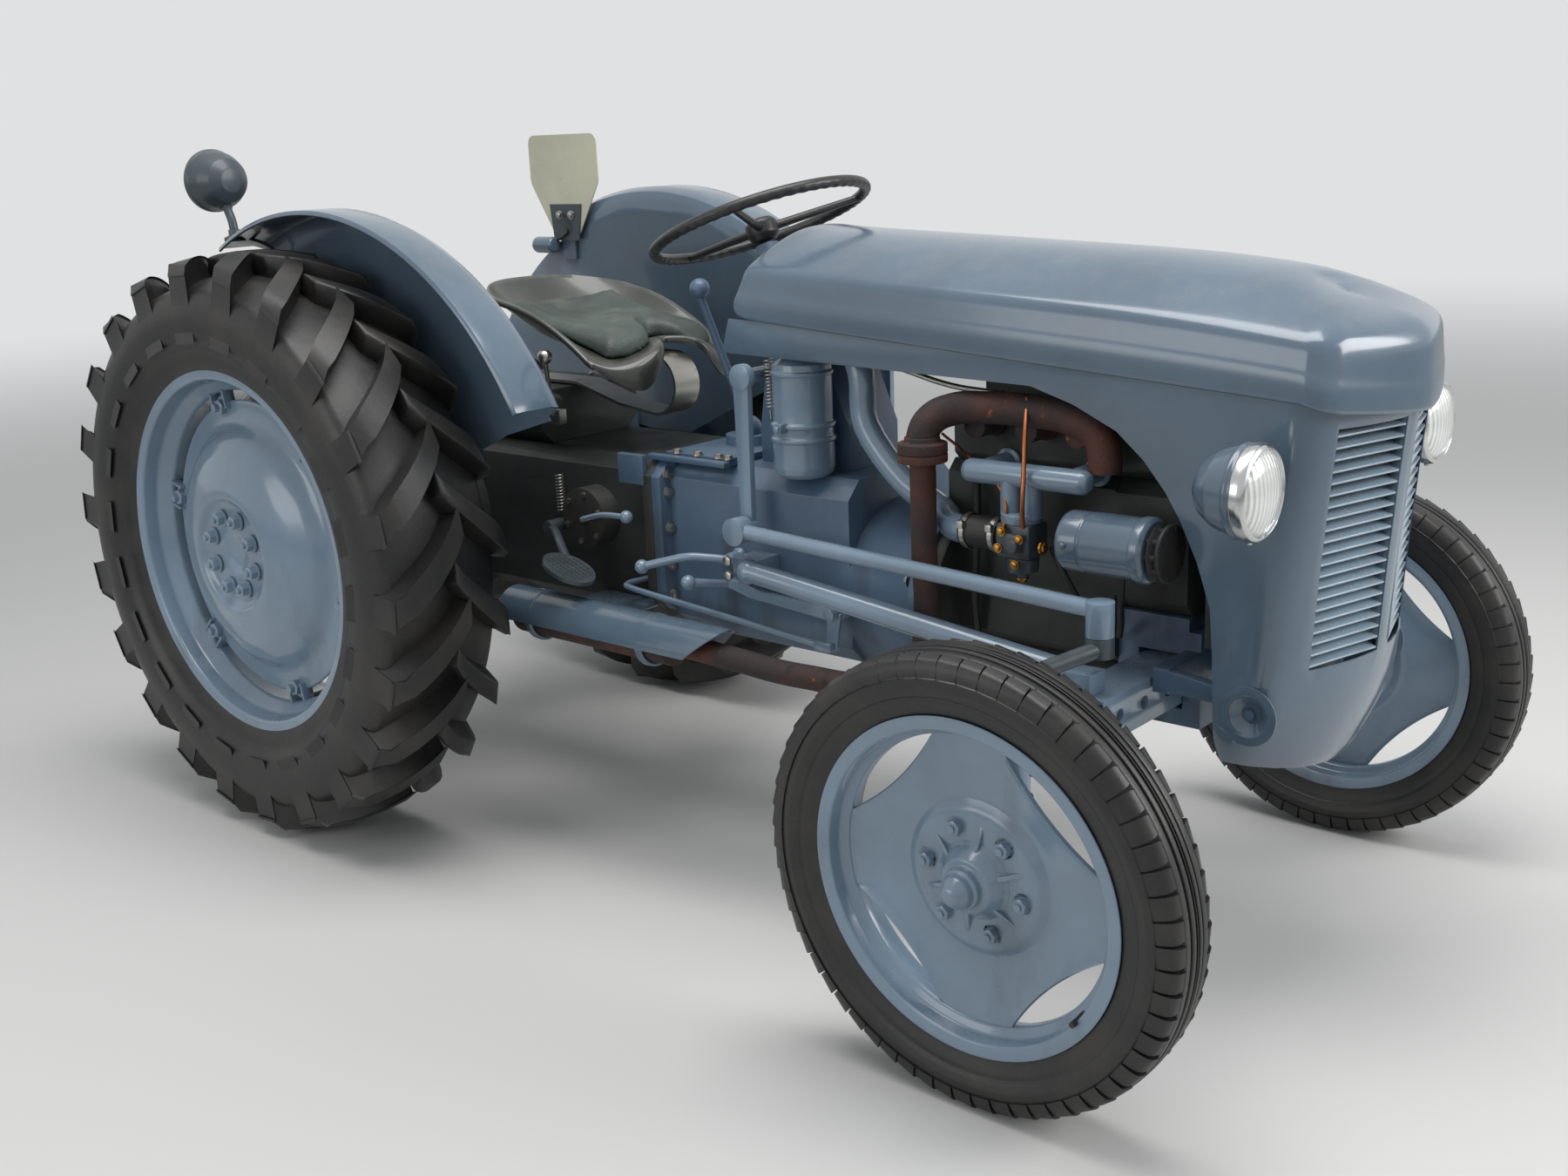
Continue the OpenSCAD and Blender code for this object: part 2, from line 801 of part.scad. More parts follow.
module rear_tyre() {
  half = rear_width / 2;
  carcass = rear_r - lug_h;
  steps = 30;
  bead_y = rear_rim_half - 24;
  bead = (rear_rim_r - 19.8) / cos(180 / steps);
  at_origin()
    translate([0, rear_half_track, axle_z])
      rotate([90, 0, 0]) {
        rotate_extrude($fn = steps)
          polygon([
            [bead, -bead_y], [430, -half + 6], [490, -half], [542, -half + 22], [carcass, -60],
            [carcass, 60], [542, half - 22], [490, half], [430, half - 6], [bead, bead_y]
          ]);
        for (i = [0 : lug_count - 1]) {
          lug_bar(1, i * 360 / lug_count - 90 + 2.3);
          lug_bar(-1, (i + 0.5) * 360 / lug_count - 90 + 2.3);
        }
      }
}
module rear_tyre_left() {
  color(black)
    rear_tyre();
}
module rear_tyre_right() {
  color(black)
    right_side()
      rear_tyre();
}
module rear_wheel() {
  h = rear_rim_half;
  r = rear_rim_r;
  at_origin()
    translate([0, rear_half_track, axle_z])
      union() {
          turned([
            [r, h], [r, h - 5], [r - 18, h - 8], [r - 22, h - 38], [r - 46, 56], [r - 46, -56],
            [r - 22, -h + 38], [r - 18, -h + 8], [r, -h + 5], [r, -h], [r - 24, -h + 3], [r - 28, -h + 36],
            [r - 52, -52], [r - 52, 52], [r - 28, h - 36], [r - 24, h - 3]
          ]);
          turned([
            [0, -106], [172, -106], [178, -100], [178, -50], [170, -50], [170, -96], [66, -96], [66, 112],
            [104, 112], [118, 108], [200, 84], [252, 60], [262, 50], [290, 50], [290, 56], [266, 56],
            [254, 67], [202, 90], [120, 114], [106, 118], [60, 118], [48, 110], [44, 113], [34, 114], [0, 114]
          ]);
          ycyl(-178, -100, 25, 0, 0);
          for (a = [15 : 60 : 315])
            rotate([0, a, 0]) {
              box([270, 46, -22], [r - 51, 53, 22]);
              ycyl(30, 74, 9, 300, 0);
            }
          for (a = [22.5 : 45 : 337.5])
            rotate([0, a, 0])
              ycyl(114, 134, 12, rear_stud_circle_r, 0);
      }
}
module rear_wheel_left() {
  color(pale)
    rear_wheel();
}
module rear_wheel_right() {
  color(pale)
    right_side()
      rear_wheel();
}

// Bonnet
function lerp(a, b, t) = a + (b - a) * t;
// Half width of the bonnet at a distance from the rear axle
function hood_half(x) = lerp(hood_half_rear, hood_half_front, (x - 950) / 1080);
// Height of the line where the bonnet top meets the skirt
function ledge_z(x) = 1063 - (x - 950) * 0.042;
// Height of the bonnet top
function hood_z(x) = hood_top_z - (x - 1000) * 0.0485 - 16 * pow(max(0, (x - 1700) / 332), 2);
// Slanted rear edge of bonnet and skirt
function rear_edge(z) = 925 + (z - 1000) * 0.4;
hood_stations = [0, 1150, 1350, 1550, 1750, 1900, 1980, 2032, 2070, 2100, 2122, 2138, nose_x - 1];
function nose_t(x) = sqrt(max(0, 1 - pow(max(0, x - 2010) / (nose_x - 2010), 2)));
function hood_row(x, t) = [
  for (j = [0 : 24])
    let (
      a = 180 - j * 7.5, c = cos(a), s = sin(a), xx = max(x, 960), w = (hood_half(xx) - t) * nose_t(x),
      low = ledge_z(xx) + 2 * seat_gap, top = lerp(low + 58, hood_z(xx), min(1, nose_t(x) * 1.02)) - t,
      z = low + (top - low) * pow(abs(s), 0.8)
    )
      [x == 0 ? rear_edge(z) : x - t * (1 - nose_t(x)), w * sign(c) * pow(abs(c), 0.8), z]
];
module bonnet_top() {
  color(paint)
    at_origin()
      sheet_solid([for (x = hood_stations) hood_row(x, 0)], [for (x = hood_stations) hood_row(x, sheet)]);
}
// Levels of the nose: height, rear edge, front on the middle line, half width, corner
// radius, and how far the level rises towards the sides
nose_levels = [
  [1030, 950, 2131, 224, 44, 0], [1001, 930, 2130, 222, 44, 0], [984, 1600, 2129, 221, 44, 0],
  [960, 1679, 2128, 220, 44, 0], [925, 1755, 2125, 219, 44, 0], [884, 1804, 2121, 220, 44, 0],
  [840, 1842, 2117, 222, 44, 0], [799, 1869, 2114, 224, 44, 0], [740, 1900, 2109, 228, 44, 0],
  [675, 1925, 2105, 232, 44, 0], [600, 1934, 2100, 238, 44, 0], [540, 1938, 2095, 242, 42, 0],
  [502, 1940, 2086, 243, 40, 0], [474, 1941, 2076, 241, 38, 6], [447, 1942, 2064, 236, 34, 17],
  [420, 1944, 2052, 230, 30, 31], [396, 1950, 2038, 222, 26, 42]
];
function front_drop(y) = 50 * pow(y / 190, 2);
function nose_front(z) = lookup(z, [for (l = nose_levels) [l[0], l[2]]]);
function nose_width(z) = lookup(z, [for (l = nose_levels) [l[0], l[3]]]);
function nose_side(x, w) = w - (2021 - x) * (w - hood_half_rear) / 1080;
function nose_height(l, x, y) = l[0] == 1030 ? ledge_z(x) : l[0] + l[5] * pow(y / 230, 2);
function nose_row(l, t) =
  let (
    w = l[3] - t, xf = l[2] - t, rc = l[4], yc = w - rc, fx = xf - front_drop(yc), sx = fx - 1.3 * rc,
    half = [
      for (i = [0 : 5])
        let (y = yc * i / 5)
          [xf - front_drop(y), y],
      for (i = [1 : 5])
        let (u = i / 5)
          [
            pow(1 - u, 2) * fx + 2 * u * (1 - u) * (fx - 0.5 * rc) + u * u * sx,
            pow(1 - u, 2) * yc + 2 * u * (1 - u) * w + u * u * w
          ],
      for (i = [1 : 3])
        let (x = lerp(sx, min(l[1], sx - 6), i / 3))
          [x, w - (sx - x) * (w + t - hood_half_rear) / 1080]
    ]
  )
    [
      for (i = [len(half) - 1 : -1 : 0])
        [half[i].x, -half[i].y, nose_height(l, half[i].x, half[i].y)],
      for (i = [1 : len(half) - 1])
        [half[i].x, half[i].y, nose_height(l, half[i].x, half[i].y)]
    ];
module nose_cowl() {
  color(paint)
    at_origin() {
      difference() {
        sheet_solid([for (l = nose_levels) nose_row(l, 0)], [for (l = nose_levels) nose_row(l, sheet)]);
        both_sides()
          box([2020, grille_in, 586], [2150, grille_out, 948]);
        both_sides()
          ycyl(200, 260, 30, pivot.x, pivot.z);
      }
      both_sides()
        translate([pivot.x, 0, pivot.z])
          rotate([-90, 0, 0])
            rotate_extrude()
              polygon([
                [pivot_r + run_fit, 222], [16, 222], [34, 240], [46, 240], [46, 242], [33, 242],
                [15, 228], [pivot_r + run_fit, 228]
              ]);
    }
}
module grille() {
  color(pale)
    at_origin()
      both_sides()
        for (i = [0 : slat_count - 1])
          let (z = 594 + i * 346 / (slat_count - 1), x0 = nose_front(z) - front_drop(20) - 2)
            translate([x0, grille_in + 1.2, z])
              rotate([0, 0, atan((front_drop(grille_out) - front_drop(20)) / (grille_out - grille_in))])
                slab(0, (grille_out - grille_in - 1.2 - seat_gap) * 1.028, [[-30, 4], [0, -5], [0, -2], [-30, 7]]);
}
module headlamps() {
  color(pale)
    at_origin()
      both_sides() {
        translate(lamp)
          rotate([0, 90, 0])
            rotate_extrude()
              polygon([[0, -92], [30, -84], [58, -62], [78, -28], [86, 0], [88, 24], [80, 30], [0, 38]]);
        rod([1990, nose_side(1990, nose_width(lamp.z - 14)) + seat_gap, lamp.z], [1990, 270, lamp.z], 14);
      }
}

// Lift
module lift_arms() {
  color(dark)
    at_origin() {
      ycyl(-176, 176, 22, lift_shaft.x, lift_shaft.z);
      both_sides() {
        slab(176, 196, [
          [lift_shaft.x + 20, lift_shaft.z - 28], [lift_shaft.x + 20, lift_shaft.z + 28],
          [lift_eye.x, lift_eye.z + 18], [lift_eye.x, lift_eye.z - 18]
        ]);
        ycyl(176, 204, 32, lift_shaft.x, lift_shaft.z);
        ycyl(176, 196, 20, lift_eye.x, lift_eye.z);
        ycyl(195, 214, 9, lift_eye.x, lift_eye.z);
      }
    }
}
module lower_link() {
  p = [link_pivot.x, link_y, link_pivot.z];
  q = [-link_reach, link_eye_y, link_pivot.z];
  difference() {
    union() {
      rod(p, q, 16);
      ycyl(p.y - 17, p.y + 17, eye_r, p.x, p.z);
      ycyl(q.y - 17.5, q.y + 17.5, eye_r, q.x, q.z);
    }
    ycyl(p.y - 20, p.y + 20, 11 + run_fit, p.x, p.z);
    ycyl(q.y - 20, q.y + 20, 11.2, q.x, q.z);
  }
}
module lower_link_left() {
  color(dark)
    at_origin()
      lower_link();
}
module lower_link_right() {
  color(dark)
    at_origin()
      right_side()
        lower_link();
}
module lift_rod() {
  top = [lift_eye.x, lift_eye.y + 18, lift_eye.z];
  low = lift_drop + [0, 0, 70];
  difference() {
    union() {
      ycyl(top.y - 10, top.y + 10, 18, top.x, top.z);
      rod(top - [0, 0, 14], low, 11);
      box(low + [-14, -34, -6], low + [14, 34, 8]);
      box(low + [-12, -34, -86], low + [12, -26, 0]);
      box(low + [-12, 26, -86], low + [12, 34, 0]);
    }
    ycyl(top.y - 12, top.y + 12, 9 + run_fit, top.x, top.z);
  }
}
module lift_rod_left() {
  color(dark)
    at_origin()
      lift_rod();
}
module lift_rod_right() {
  color(dark)
    at_origin()
      right_side()
        lift_rod();
}

rear_housing();
lift_cover();
axle_housings();
gearbox();
gearbox_cover();
steering_box();
dash_panel();
fuel_tank();
engine_block();
cylinder_head();
exhaust_manifold();
exhaust_pipe();
intake();
air_cleaner();
air_pipe();
dynamo();
fan_belt();
radiator();
front_support();
front_axle();
radius_rods();
seat_pan();
seat_spring();
fenders();
work_lamp();
number_board();
brake_pedals();
foot_rests();
control_quadrant();
steering_wheel();
drop_arm_right();
drop_arm_left();
drag_link_right();
drag_link_left();
knuckle_right();
knuckle_left();
front_tyre_right();
front_tyre_left();
front_wheel_right();
front_wheel_left();
rear_tyre_right();
rear_tyre_left();
rear_wheel_right();
rear_wheel_left();
bonnet_top();
nose_cowl();
grille();
headlamps();
lift_arms();
lower_link_right();
lower_link_left();
lift_rod_right();
lift_rod_left();
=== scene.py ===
# %% [markdown]
# # Dressing a vintage farm tractor
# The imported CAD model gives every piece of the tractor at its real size. This lesson keeps those
# pieces where they are and gives them what a photograph shows: rounded edges, worn paint, lugs,
# tread, bolts and dirt. It opens the frame first, because every later size is read from it.

# %% Open the frame
import bpy
import bmesh
import json
from math import atan2, cos, hypot, pi, radians, sin, sqrt, tau
from mathutils import Matrix, Quaternion, Vector


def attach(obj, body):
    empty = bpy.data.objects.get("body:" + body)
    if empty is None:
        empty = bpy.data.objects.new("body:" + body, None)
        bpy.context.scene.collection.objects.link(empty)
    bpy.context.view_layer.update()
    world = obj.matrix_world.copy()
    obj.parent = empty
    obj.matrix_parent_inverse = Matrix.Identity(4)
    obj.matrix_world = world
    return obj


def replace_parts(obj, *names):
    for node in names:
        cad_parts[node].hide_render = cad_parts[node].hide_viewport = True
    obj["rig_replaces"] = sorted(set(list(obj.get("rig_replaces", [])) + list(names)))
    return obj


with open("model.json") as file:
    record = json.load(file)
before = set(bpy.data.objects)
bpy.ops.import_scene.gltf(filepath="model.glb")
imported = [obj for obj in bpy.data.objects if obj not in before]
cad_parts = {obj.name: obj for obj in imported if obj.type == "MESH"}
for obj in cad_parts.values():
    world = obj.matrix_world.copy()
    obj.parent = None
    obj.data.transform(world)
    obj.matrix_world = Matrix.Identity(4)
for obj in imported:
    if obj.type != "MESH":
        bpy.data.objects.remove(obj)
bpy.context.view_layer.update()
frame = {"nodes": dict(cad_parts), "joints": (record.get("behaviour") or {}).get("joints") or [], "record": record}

# %% [markdown]
# ## Where the photograph was taken from
# The camera stands to the right of the nose, at about the height of a person's chest. Its place,
# turn and lens were found by matching the wheels and the nose with the picture. A camera in
# Blender looks along its own -Z, so it is first aimed level and then rolled round its view line.

# %% Camera at the photograph's viewpoint
camera_place = Vector((2.350, -2.442, 1.378))
camera_yaw, camera_pitch, camera_roll = 2.295, -0.263, -0.041
camera_lens = 38.51

view_line = Vector((
    cos(camera_pitch) * cos(camera_yaw), cos(camera_pitch) * sin(camera_yaw), sin(camera_pitch)))
camera_data = bpy.data.cameras.new("camera")
camera_data.lens = camera_lens
camera_data.sensor_width = 36
camera = bpy.data.objects.new("camera", camera_data)
bpy.context.scene.collection.objects.link(camera)
camera.location = camera_place
camera.rotation_mode = "QUATERNION"
camera.rotation_quaternion = view_line.to_track_quat("-Z", "Y") @ Quaternion((0, 0, 1), camera_roll)
bpy.context.scene.camera = camera
print("camera", tuple(round(v, 2) for v in camera.location), "lens", camera_lens)

# %% [markdown]
# ## Shader maths that reads like maths
# A material is a graph of nodes, and long graphs are hard to read in code. This small class wraps
# one output socket, so that `1 - mask * 0.5` adds the Math nodes by itself. Its `node` method
# makes any other node from its type, its settings and its inputs.

# %% Wire: a socket that can be added and multiplied
class Wire:
    def __init__(self, tree, socket=None):
        self.tree, self.socket = tree, socket

    def node(self, kind, settings=None, inputs=None, output=0):
        made = self.tree.nodes.new("ShaderNode" + kind)
        for name, value in (settings or {}).items():
            setattr(made, name, value)
        for name, value in (inputs or {}).items():
            if isinstance(value, Wire):
                self.tree.links.new(value.socket, made.inputs[name])
            else:
                made.inputs[name].default_value = value
        return Wire(self.tree, made.outputs[output])

    def math(self, operation, a, b=0.0, clamp=False):
        return self.node("Math", {"operation": operation, "use_clamp": clamp}, {0: a, 1: b})

    def __add__(self, other):
        return self.math("ADD", self, other)

    def __sub__(self, other):
        return self.math("SUBTRACT", self, other)

    def __rsub__(self, other):
        return self.math("SUBTRACT", other, self)

    def __mul__(self, other):
        return self.math("MULTIPLY", self, other)

    __radd__ = __add__
    __rmul__ = __mul__

    def clip(self):
        return self.math("ADD", self, 0.0, clamp=True)

    def step(self, low, high):
        """0 below low and 1 above high, with a smooth slope between."""
        return self.node("MapRange", {"interpolation_type": "SMOOTHSTEP"},
                         {"Value": self, "From Min": low, "From Max": high})


print("Wire adds a Math node for each sign")

# %% [markdown]
# ## A finish
# Every finish on the tractor is one Principled shader with a few layers over a base colour: large
# soft patches, fine grain, and dirt or rust that a mask lays on top. A layer is written as a
# colour and a mask, and `blend` lays it over what is below. Colours are written as they look on
# screen and turned into light values here.

# %% Colours and the layer maker
def tone(red, green, blue):
    """Screen colour, 0 to 255, as the light value that a shader takes."""
    return tuple((c / 255 / 12.92) if c <= 10 else ((c / 255 + 0.055) / 1.055) ** 2.4
                 for c in (red, green, blue))


class Finish:
    def __init__(self, name):
        self.material = bpy.data.materials.new(name)
        self.material.use_nodes = True
        tree = self.material.node_tree
        self.shader = tree.nodes["Principled BSDF"]
        self.tree = tree
        self.wire = Wire(tree)
        self.place = self.wire.node("TexCoord", output=3)

    def grain(self, scale, detail=4.0, rough=0.55, stretch=(1, 1, 1)):
        """Noise from 0 to 1 in the piece's own metres."""
        moved = self.wire.node("Mapping", {}, {"Vector": self.place, "Scale": stretch})
        return self.wire.node("TexNoise", {}, {
            "Vector": moved, "Scale": scale, "Detail": detail, "Roughness": rough})

    def cells(self, scale, kind="F1"):
        return self.wire.node("TexVoronoi", {"feature": kind},
                              {"Vector": self.place, "Scale": scale})

    def height(self):
        return self.wire.node("SeparateXYZ", {}, {"Vector": self.place}, 2)

    def facing_up(self):
        normal = self.wire.node("NewGeometry", output="Normal")
        return self.wire.node("SeparateXYZ", {}, {"Vector": normal}, 2)

    def blend(self, below, above, mask):
        below = (*below, 1) if isinstance(below, tuple) else below
        above = (*above, 1) if isinstance(above, tuple) else above
        return self.wire.node("Mix", {"data_type": "RGBA"}, {
            "Factor": mask, 6: below, 7: above}, 2)

    def set(self, **values):
        for name, value in values.items():
            socket = self.shader.inputs[name.replace("_", " ").title().replace("Ior", "IOR")]
            if isinstance(value, Wire):
                self.tree.links.new(value.socket, socket)
            else:
                socket.default_value = (*value, 1) if isinstance(value, tuple) else value

    def bump(self, height, strength, distance):
        made = self.wire.node("Bump", {}, {
            "Height": height, "Strength": strength, "Distance": distance})
        self.tree.links.new(made.socket, self.shader.inputs["Normal"])


print("finishes are built from layers")

# %% [markdown]
# ## A plain studio
# The tractor stands on a pale floor under wide, soft lamps, so its colours show as they are. The
# backdrop is the world itself: rays from the camera and mirror rays see a plain pale grey, and
# all other rays get a slightly dimmer light, so the paint isn't washed out.

# %% Floor, world and lamps
floor_tone = tone(206, 205, 202)
backdrop_tone = tone(224, 225, 226)
soft_light = (0.40, 0.42, 0.44)
floor_radius = 60
floor_mesh = bmesh.new()
bmesh.ops.create_circle(floor_mesh, cap_ends=True, segments=96, radius=floor_radius)
floor_data = bpy.data.meshes.new("floor")
floor_mesh.to_mesh(floor_data)
floor_mesh.free()
floor = bpy.data.objects.new("floor", floor_data)
bpy.context.scene.collection.objects.link(floor)
floor_finish = Finish("studio_floor")
floor_finish.set(base_color=floor_tone, roughness=0.85)
from_middle = floor_finish.wire.node("VectorMath", {"operation": "LENGTH"},
                                     {0: floor_finish.place}, 1)
far_off = from_middle.step(3.0, 13.0)
glow = floor_finish.wire.node("Emission", {}, {"Color": (*backdrop_tone, 1), "Strength": 1.0})
only_seen = floor_finish.wire.node("LightPath", output="Is Camera Ray")
plain_floor = Wire(floor_finish.tree, floor_finish.shader.outputs[0])
melted = floor_finish.wire.node("MixShader", {}, {
    0: far_off * only_seen, 1: plain_floor, 2: glow})
floor_output = floor_finish.tree.nodes["Material Output"]
floor_finish.tree.links.new(melted.socket, floor_output.inputs["Surface"])
floor_data.materials.append(floor_finish.material)

world = bpy.data.worlds.new("studio")
world.use_nodes = True
bpy.context.scene.world = world
sky = Wire(world.node_tree)
seen = sky.node("LightPath", output="Is Camera Ray") + sky.node("LightPath", output="Is Glossy Ray")
light = sky.node("Mix", {"data_type": "RGBA"}, {
    "Factor": seen.clip(), 6: (*soft_light, 1), 7: (*backdrop_tone, 1)}, 2)
background = world.node_tree.nodes["Background"]
world.node_tree.links.new(light.socket, background.inputs["Color"])
background.inputs["Strength"].default_value = 1.0


def lamp(name, place, aim, size, power):
    """A wide soft lamp at a place, aimed at a point."""
    data = bpy.data.lights.new(name, "AREA")
    data.shape = "RECTANGLE"
    data.size, data.size_y = size
    data.energy = power
    made = bpy.data.objects.new(name, data)
    bpy.context.scene.collection.objects.link(made)
    made.location = place
    made.rotation_mode = "QUATERNION"
    made.rotation_quaternion = (Vector(aim) - Vector(place)).to_track_quat("-Z", "Y")


lamp("overhead", (0.6, -0.6, 4.6), (0.1, 0, 0.6), (3.6, 2.4), 150)
lamp("front_left_sky", (4.6, 1.6, 2.6), (0.6, 0, 0.7), (2.4, 2.2), 120)
lamp("side_fill", (-0.8, -4.8, 2.0), (0, 0, 0.6), (3.0, 1.6), 34)
bpy.context.scene.view_settings.view_transform = "Standard"

# %% [markdown]
# ## Old blue-grey enamel
# The tractor was brushed and sprayed in one blue-grey, and it has dulled in patches. So one
# function makes every painted finish: a soft mottle in the colour, fine orange-peel in the bump,
# dust on what faces up, and grime that thickens towards the ground and round the engine. The
# cast housings use the same function with far more grime and a rough, sandy bump.

# %% Painted finishes
grime_tone = tone(44, 38, 32)
dust_tone = tone(150, 146, 134)
rust_tone = tone(122, 66, 34)


def painted(name, colour, gloss=0.30, grime=0.15, rust=0.0, sandy=0.0, dust=0.12):
    """Enamel of a colour, with its own share of grime, rust spots, casting grain and dust."""
    finish = Finish(name)
    patch = finish.grain(3.1, detail=5)
    fine = finish.grain(38, detail=6)
    speck = finish.grain(170, detail=3)
    paler = tuple(min(1, c * 1.10) for c in tone(*colour))
    darker = tuple(c * 0.86 for c in tone(*colour))
    base = finish.blend(darker, paler, (patch * 0.85 + fine * 0.15).step(0.32, 0.68))
    streak = finish.grain(9, detail=7, stretch=(1, 1, 0.28))
    low = 1 - finish.height().step(0.15, 1.05)
    dirt = (streak + low * 0.22).step(0.74 - grime * 0.45, 0.98 - grime * 0.3)
    dirt = (dirt * min(1, 0.35 + grime)).clip()
    base = finish.blend(base, grime_tone, dirt)
    dust_patches = finish.grain(21, detail=6).step(0.35, 0.75)
    settled = (finish.facing_up().step(0.55, 1.0) * dust_patches * dust).clip()
    base = finish.blend(base, dust_tone, settled)
    rough = speck * 0.10 + dirt * 0.30 + settled * 0.6
    if rust:
        spots = finish.grain(62, detail=8, rough=0.7).step(0.70 - rust * 0.22, 0.76 - rust * 0.2)
        spots = spots * finish.grain(5).step(0.45, 0.62)
        base = finish.blend(base, rust_tone, spots.clip())
        rough = rough + spots * 0.4
    finish.set(base_color=base, roughness=(rough + gloss - 0.02).clip(),
               coat_weight=0.55 if gloss < 0.34 else 0.12, coat_roughness=0.12,
               specular_ior_level=0.5)
    height = finish.grain(95, detail=2) * 0.5 + dirt * 0.4
    if sandy:
        height = height + finish.grain(330, detail=4, rough=0.7) * sandy * 3
    finish.bump(height, 0.09 + sandy * 0.2, 0.0010 + sandy * 0.001)
    return finish.material


finishes = {
    "blue_grey_paint": painted("blue_grey_enamel", (86, 104, 120), gloss=0.20, grime=0.02),
    "pale_paint": painted("pale_enamel", (118, 138, 156), gloss=0.20, grime=0.05, rust=0.06),
    "dark_paint": painted("dark_enamel", (58, 68, 74), gloss=0.36, grime=0.35, rust=0.2),
    "grey_casting": painted("painted_casting", (78, 100, 122), gloss=0.36, grime=0.32,
                            rust=0.25, sandy=0.5),
    "cast_housing": painted("oily_casting", (44, 49, 47), gloss=0.46, grime=0.50,
                            rust=0.1, sandy=0.8),
    # Paler copy of the blue-grey for the grille slats: painted light from the front.
    "slat_paint_painted_light": painted("slat_enamel_painted_light", (150, 168, 182), gloss=0.22, grime=0.0, dust=0.05),
    "cream_paint": painted("cream_enamel", (196, 194, 172), gloss=0.34, grime=0.05, rust=0.30),
    "black_paint": painted("olive_black_enamel", (46, 49, 43), gloss=0.33, grime=0.0, dust=0.22),
}
print("painted finishes:", len(finishes))

# %% [markdown]
# ## Rubber, rust and bare steel
# Tyre rubber is nearly black but never clean: a brown-grey film sits in the grain. The exhaust has
# burnt its paint off, so it is dark iron with orange bloom. Bare steel shows on the seat's strap,
# the clamps and the bolts, with a fine brushed grain.

# %% Rubber, rusty iron and steel
def rubber(name, colour, film, shine=0.62):
    finish = Finish(name)
    film_mask = (finish.grain(7, detail=7).step(0.40, 0.74) * film
                 + finish.grain(120, detail=4).step(0.5, 0.8) * film * 0.5).clip()
    base = finish.blend(tone(*colour), tone(104, 97, 86), film_mask)
    finish.set(base_color=base, roughness=(film_mask * 0.3 + shine - 0.08).clip())
    finish.bump(finish.grain(260, detail=4) + finish.grain(40, detail=3) * 2, 0.22, 0.0012)
    return finish.material


def rusty_iron(name):
    finish = Finish(name)
    bloom = finish.grain(46, detail=9, rough=0.72)
    base = tone(50, 41, 42)
    for colour, mask in (
            (tone(84, 52, 42), finish.grain(8, detail=6).step(0.38, 0.64)),
            (tone(164, 92, 48), bloom.step(0.60, 0.68) * finish.grain(6).step(0.36, 0.62)),
            (tone(30, 26, 27), finish.grain(24, detail=7).step(0.62, 0.72))):
        base = finish.blend(base, colour, mask)
    finish.set(base_color=base, roughness=(bloom * 0.3 + 0.62).clip(), metallic=0.15)
    finish.bump(bloom * 2 + finish.grain(210, detail=5), 0.55, 0.0018)
    return finish.material


def steel(name, colour, rough=0.34, stain=0.25, stretch=(1, 1, 1)):
    finish = Finish(name)
    brushed = finish.grain(240, detail=3, stretch=stretch)
    spots = (finish.grain(30, detail=8).step(0.58, 0.72) * stain * 2).clip()
    base = finish.blend(tone(*colour), tone(92, 74, 58), spots)
    finish.set(base_color=base, metallic=(1 - spots * 0.7).clip(),
               roughness=(brushed * 0.18 + spots * 0.35 + rough - 0.09).clip())
    finish.bump(brushed, 0.10, 0.0004)
    return finish.material


finishes.update({
    "tyre_rubber": rubber("tyre_rubber", (27, 27, 28), 0.16, shine=0.50),
    "belt_rubber": rubber("belt_rubber", (28, 28, 29), 0.12),
    "black_plastic": rubber("wheel_plastic", (36, 36, 38), 0.10, shine=0.42),
    "rusty_iron": rusty_iron("burnt_iron"),
    "bright_steel": steel("brushed_steel", (172, 170, 164)),
})
print("finishes so far:", len(finishes))

# %% [markdown]
# ## Rounded edges on the CAD pieces
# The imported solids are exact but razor-sharp, and nothing real is. Each one is copied, its
# doubled corners are merged and its flat triangles joined, and then every sharp edge gets a small
# bevel that catches the light. The copy takes the CAD node's place, on the same body.

# %% dress: a CAD node with softened edges
slot_of = {piece["node"]: piece["material_slot"] for piece in frame["record"]["subparts"]}
body_of = {node: body for body, nodes in frame["record"]["behaviour"]["bodies"].items()
           for node in nodes}
made_pieces = {}


def finish_piece(name, mesh, body, slot, stands_for=(), material=None, sharp=radians(32)):
    """Turns a bmesh into a piece that rides on a body and takes a slot's finish."""
    bmesh.ops.recalc_face_normals(mesh, faces=mesh.faces)
    data = bpy.data.meshes.new(name)
    mesh.to_mesh(data)
    mesh.free()
    for face in data.polygons:
        face.use_smooth = True
    data.set_sharp_from_angle(angle=sharp)
    data.materials.append(material or finishes[slot])
    piece = bpy.data.objects.new(name, data)
    bpy.context.scene.collection.objects.link(piece)
    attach(piece, body)
    if stands_for:
        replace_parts(piece, *stands_for)
    made_pieces[name] = piece
    return piece


def bolt_on(name, mesh, slot, stands_for=(), material=None, sharp=40):
    """A piece that is fixed to the chassis; sharp is in degrees."""
    return finish_piece(name, mesh, "chassis", slot, stands_for, material, radians(sharp))


def node_mesh(node):
    mesh = bmesh.new()
    mesh.from_mesh(frame["nodes"][node].data)
    bmesh.ops.remove_doubles(mesh, verts=mesh.verts, dist=2e-5)
    bmesh.ops.dissolve_degenerate(mesh, edges=mesh.edges, dist=1e-5)
    return mesh


def ease_edges(mesh, edges, width, segments=2):
    bmesh.ops.bevel(mesh, geom=edges, offset=width, offset_type="OFFSET", affect="EDGES",
                    segments=segments, profile=0.5, material=-1, clamp_overlap=True)


def sharp_edges(mesh, least):
    """Edges where two faces meet at more than some degrees."""
    return [edge for edge in mesh.edges
            if len(edge.link_faces) == 2 and edge.calc_face_angle(0) > radians(least)]


def edges_at(corners):
    return list({edge for corner in corners for edge in corner.link_edges})


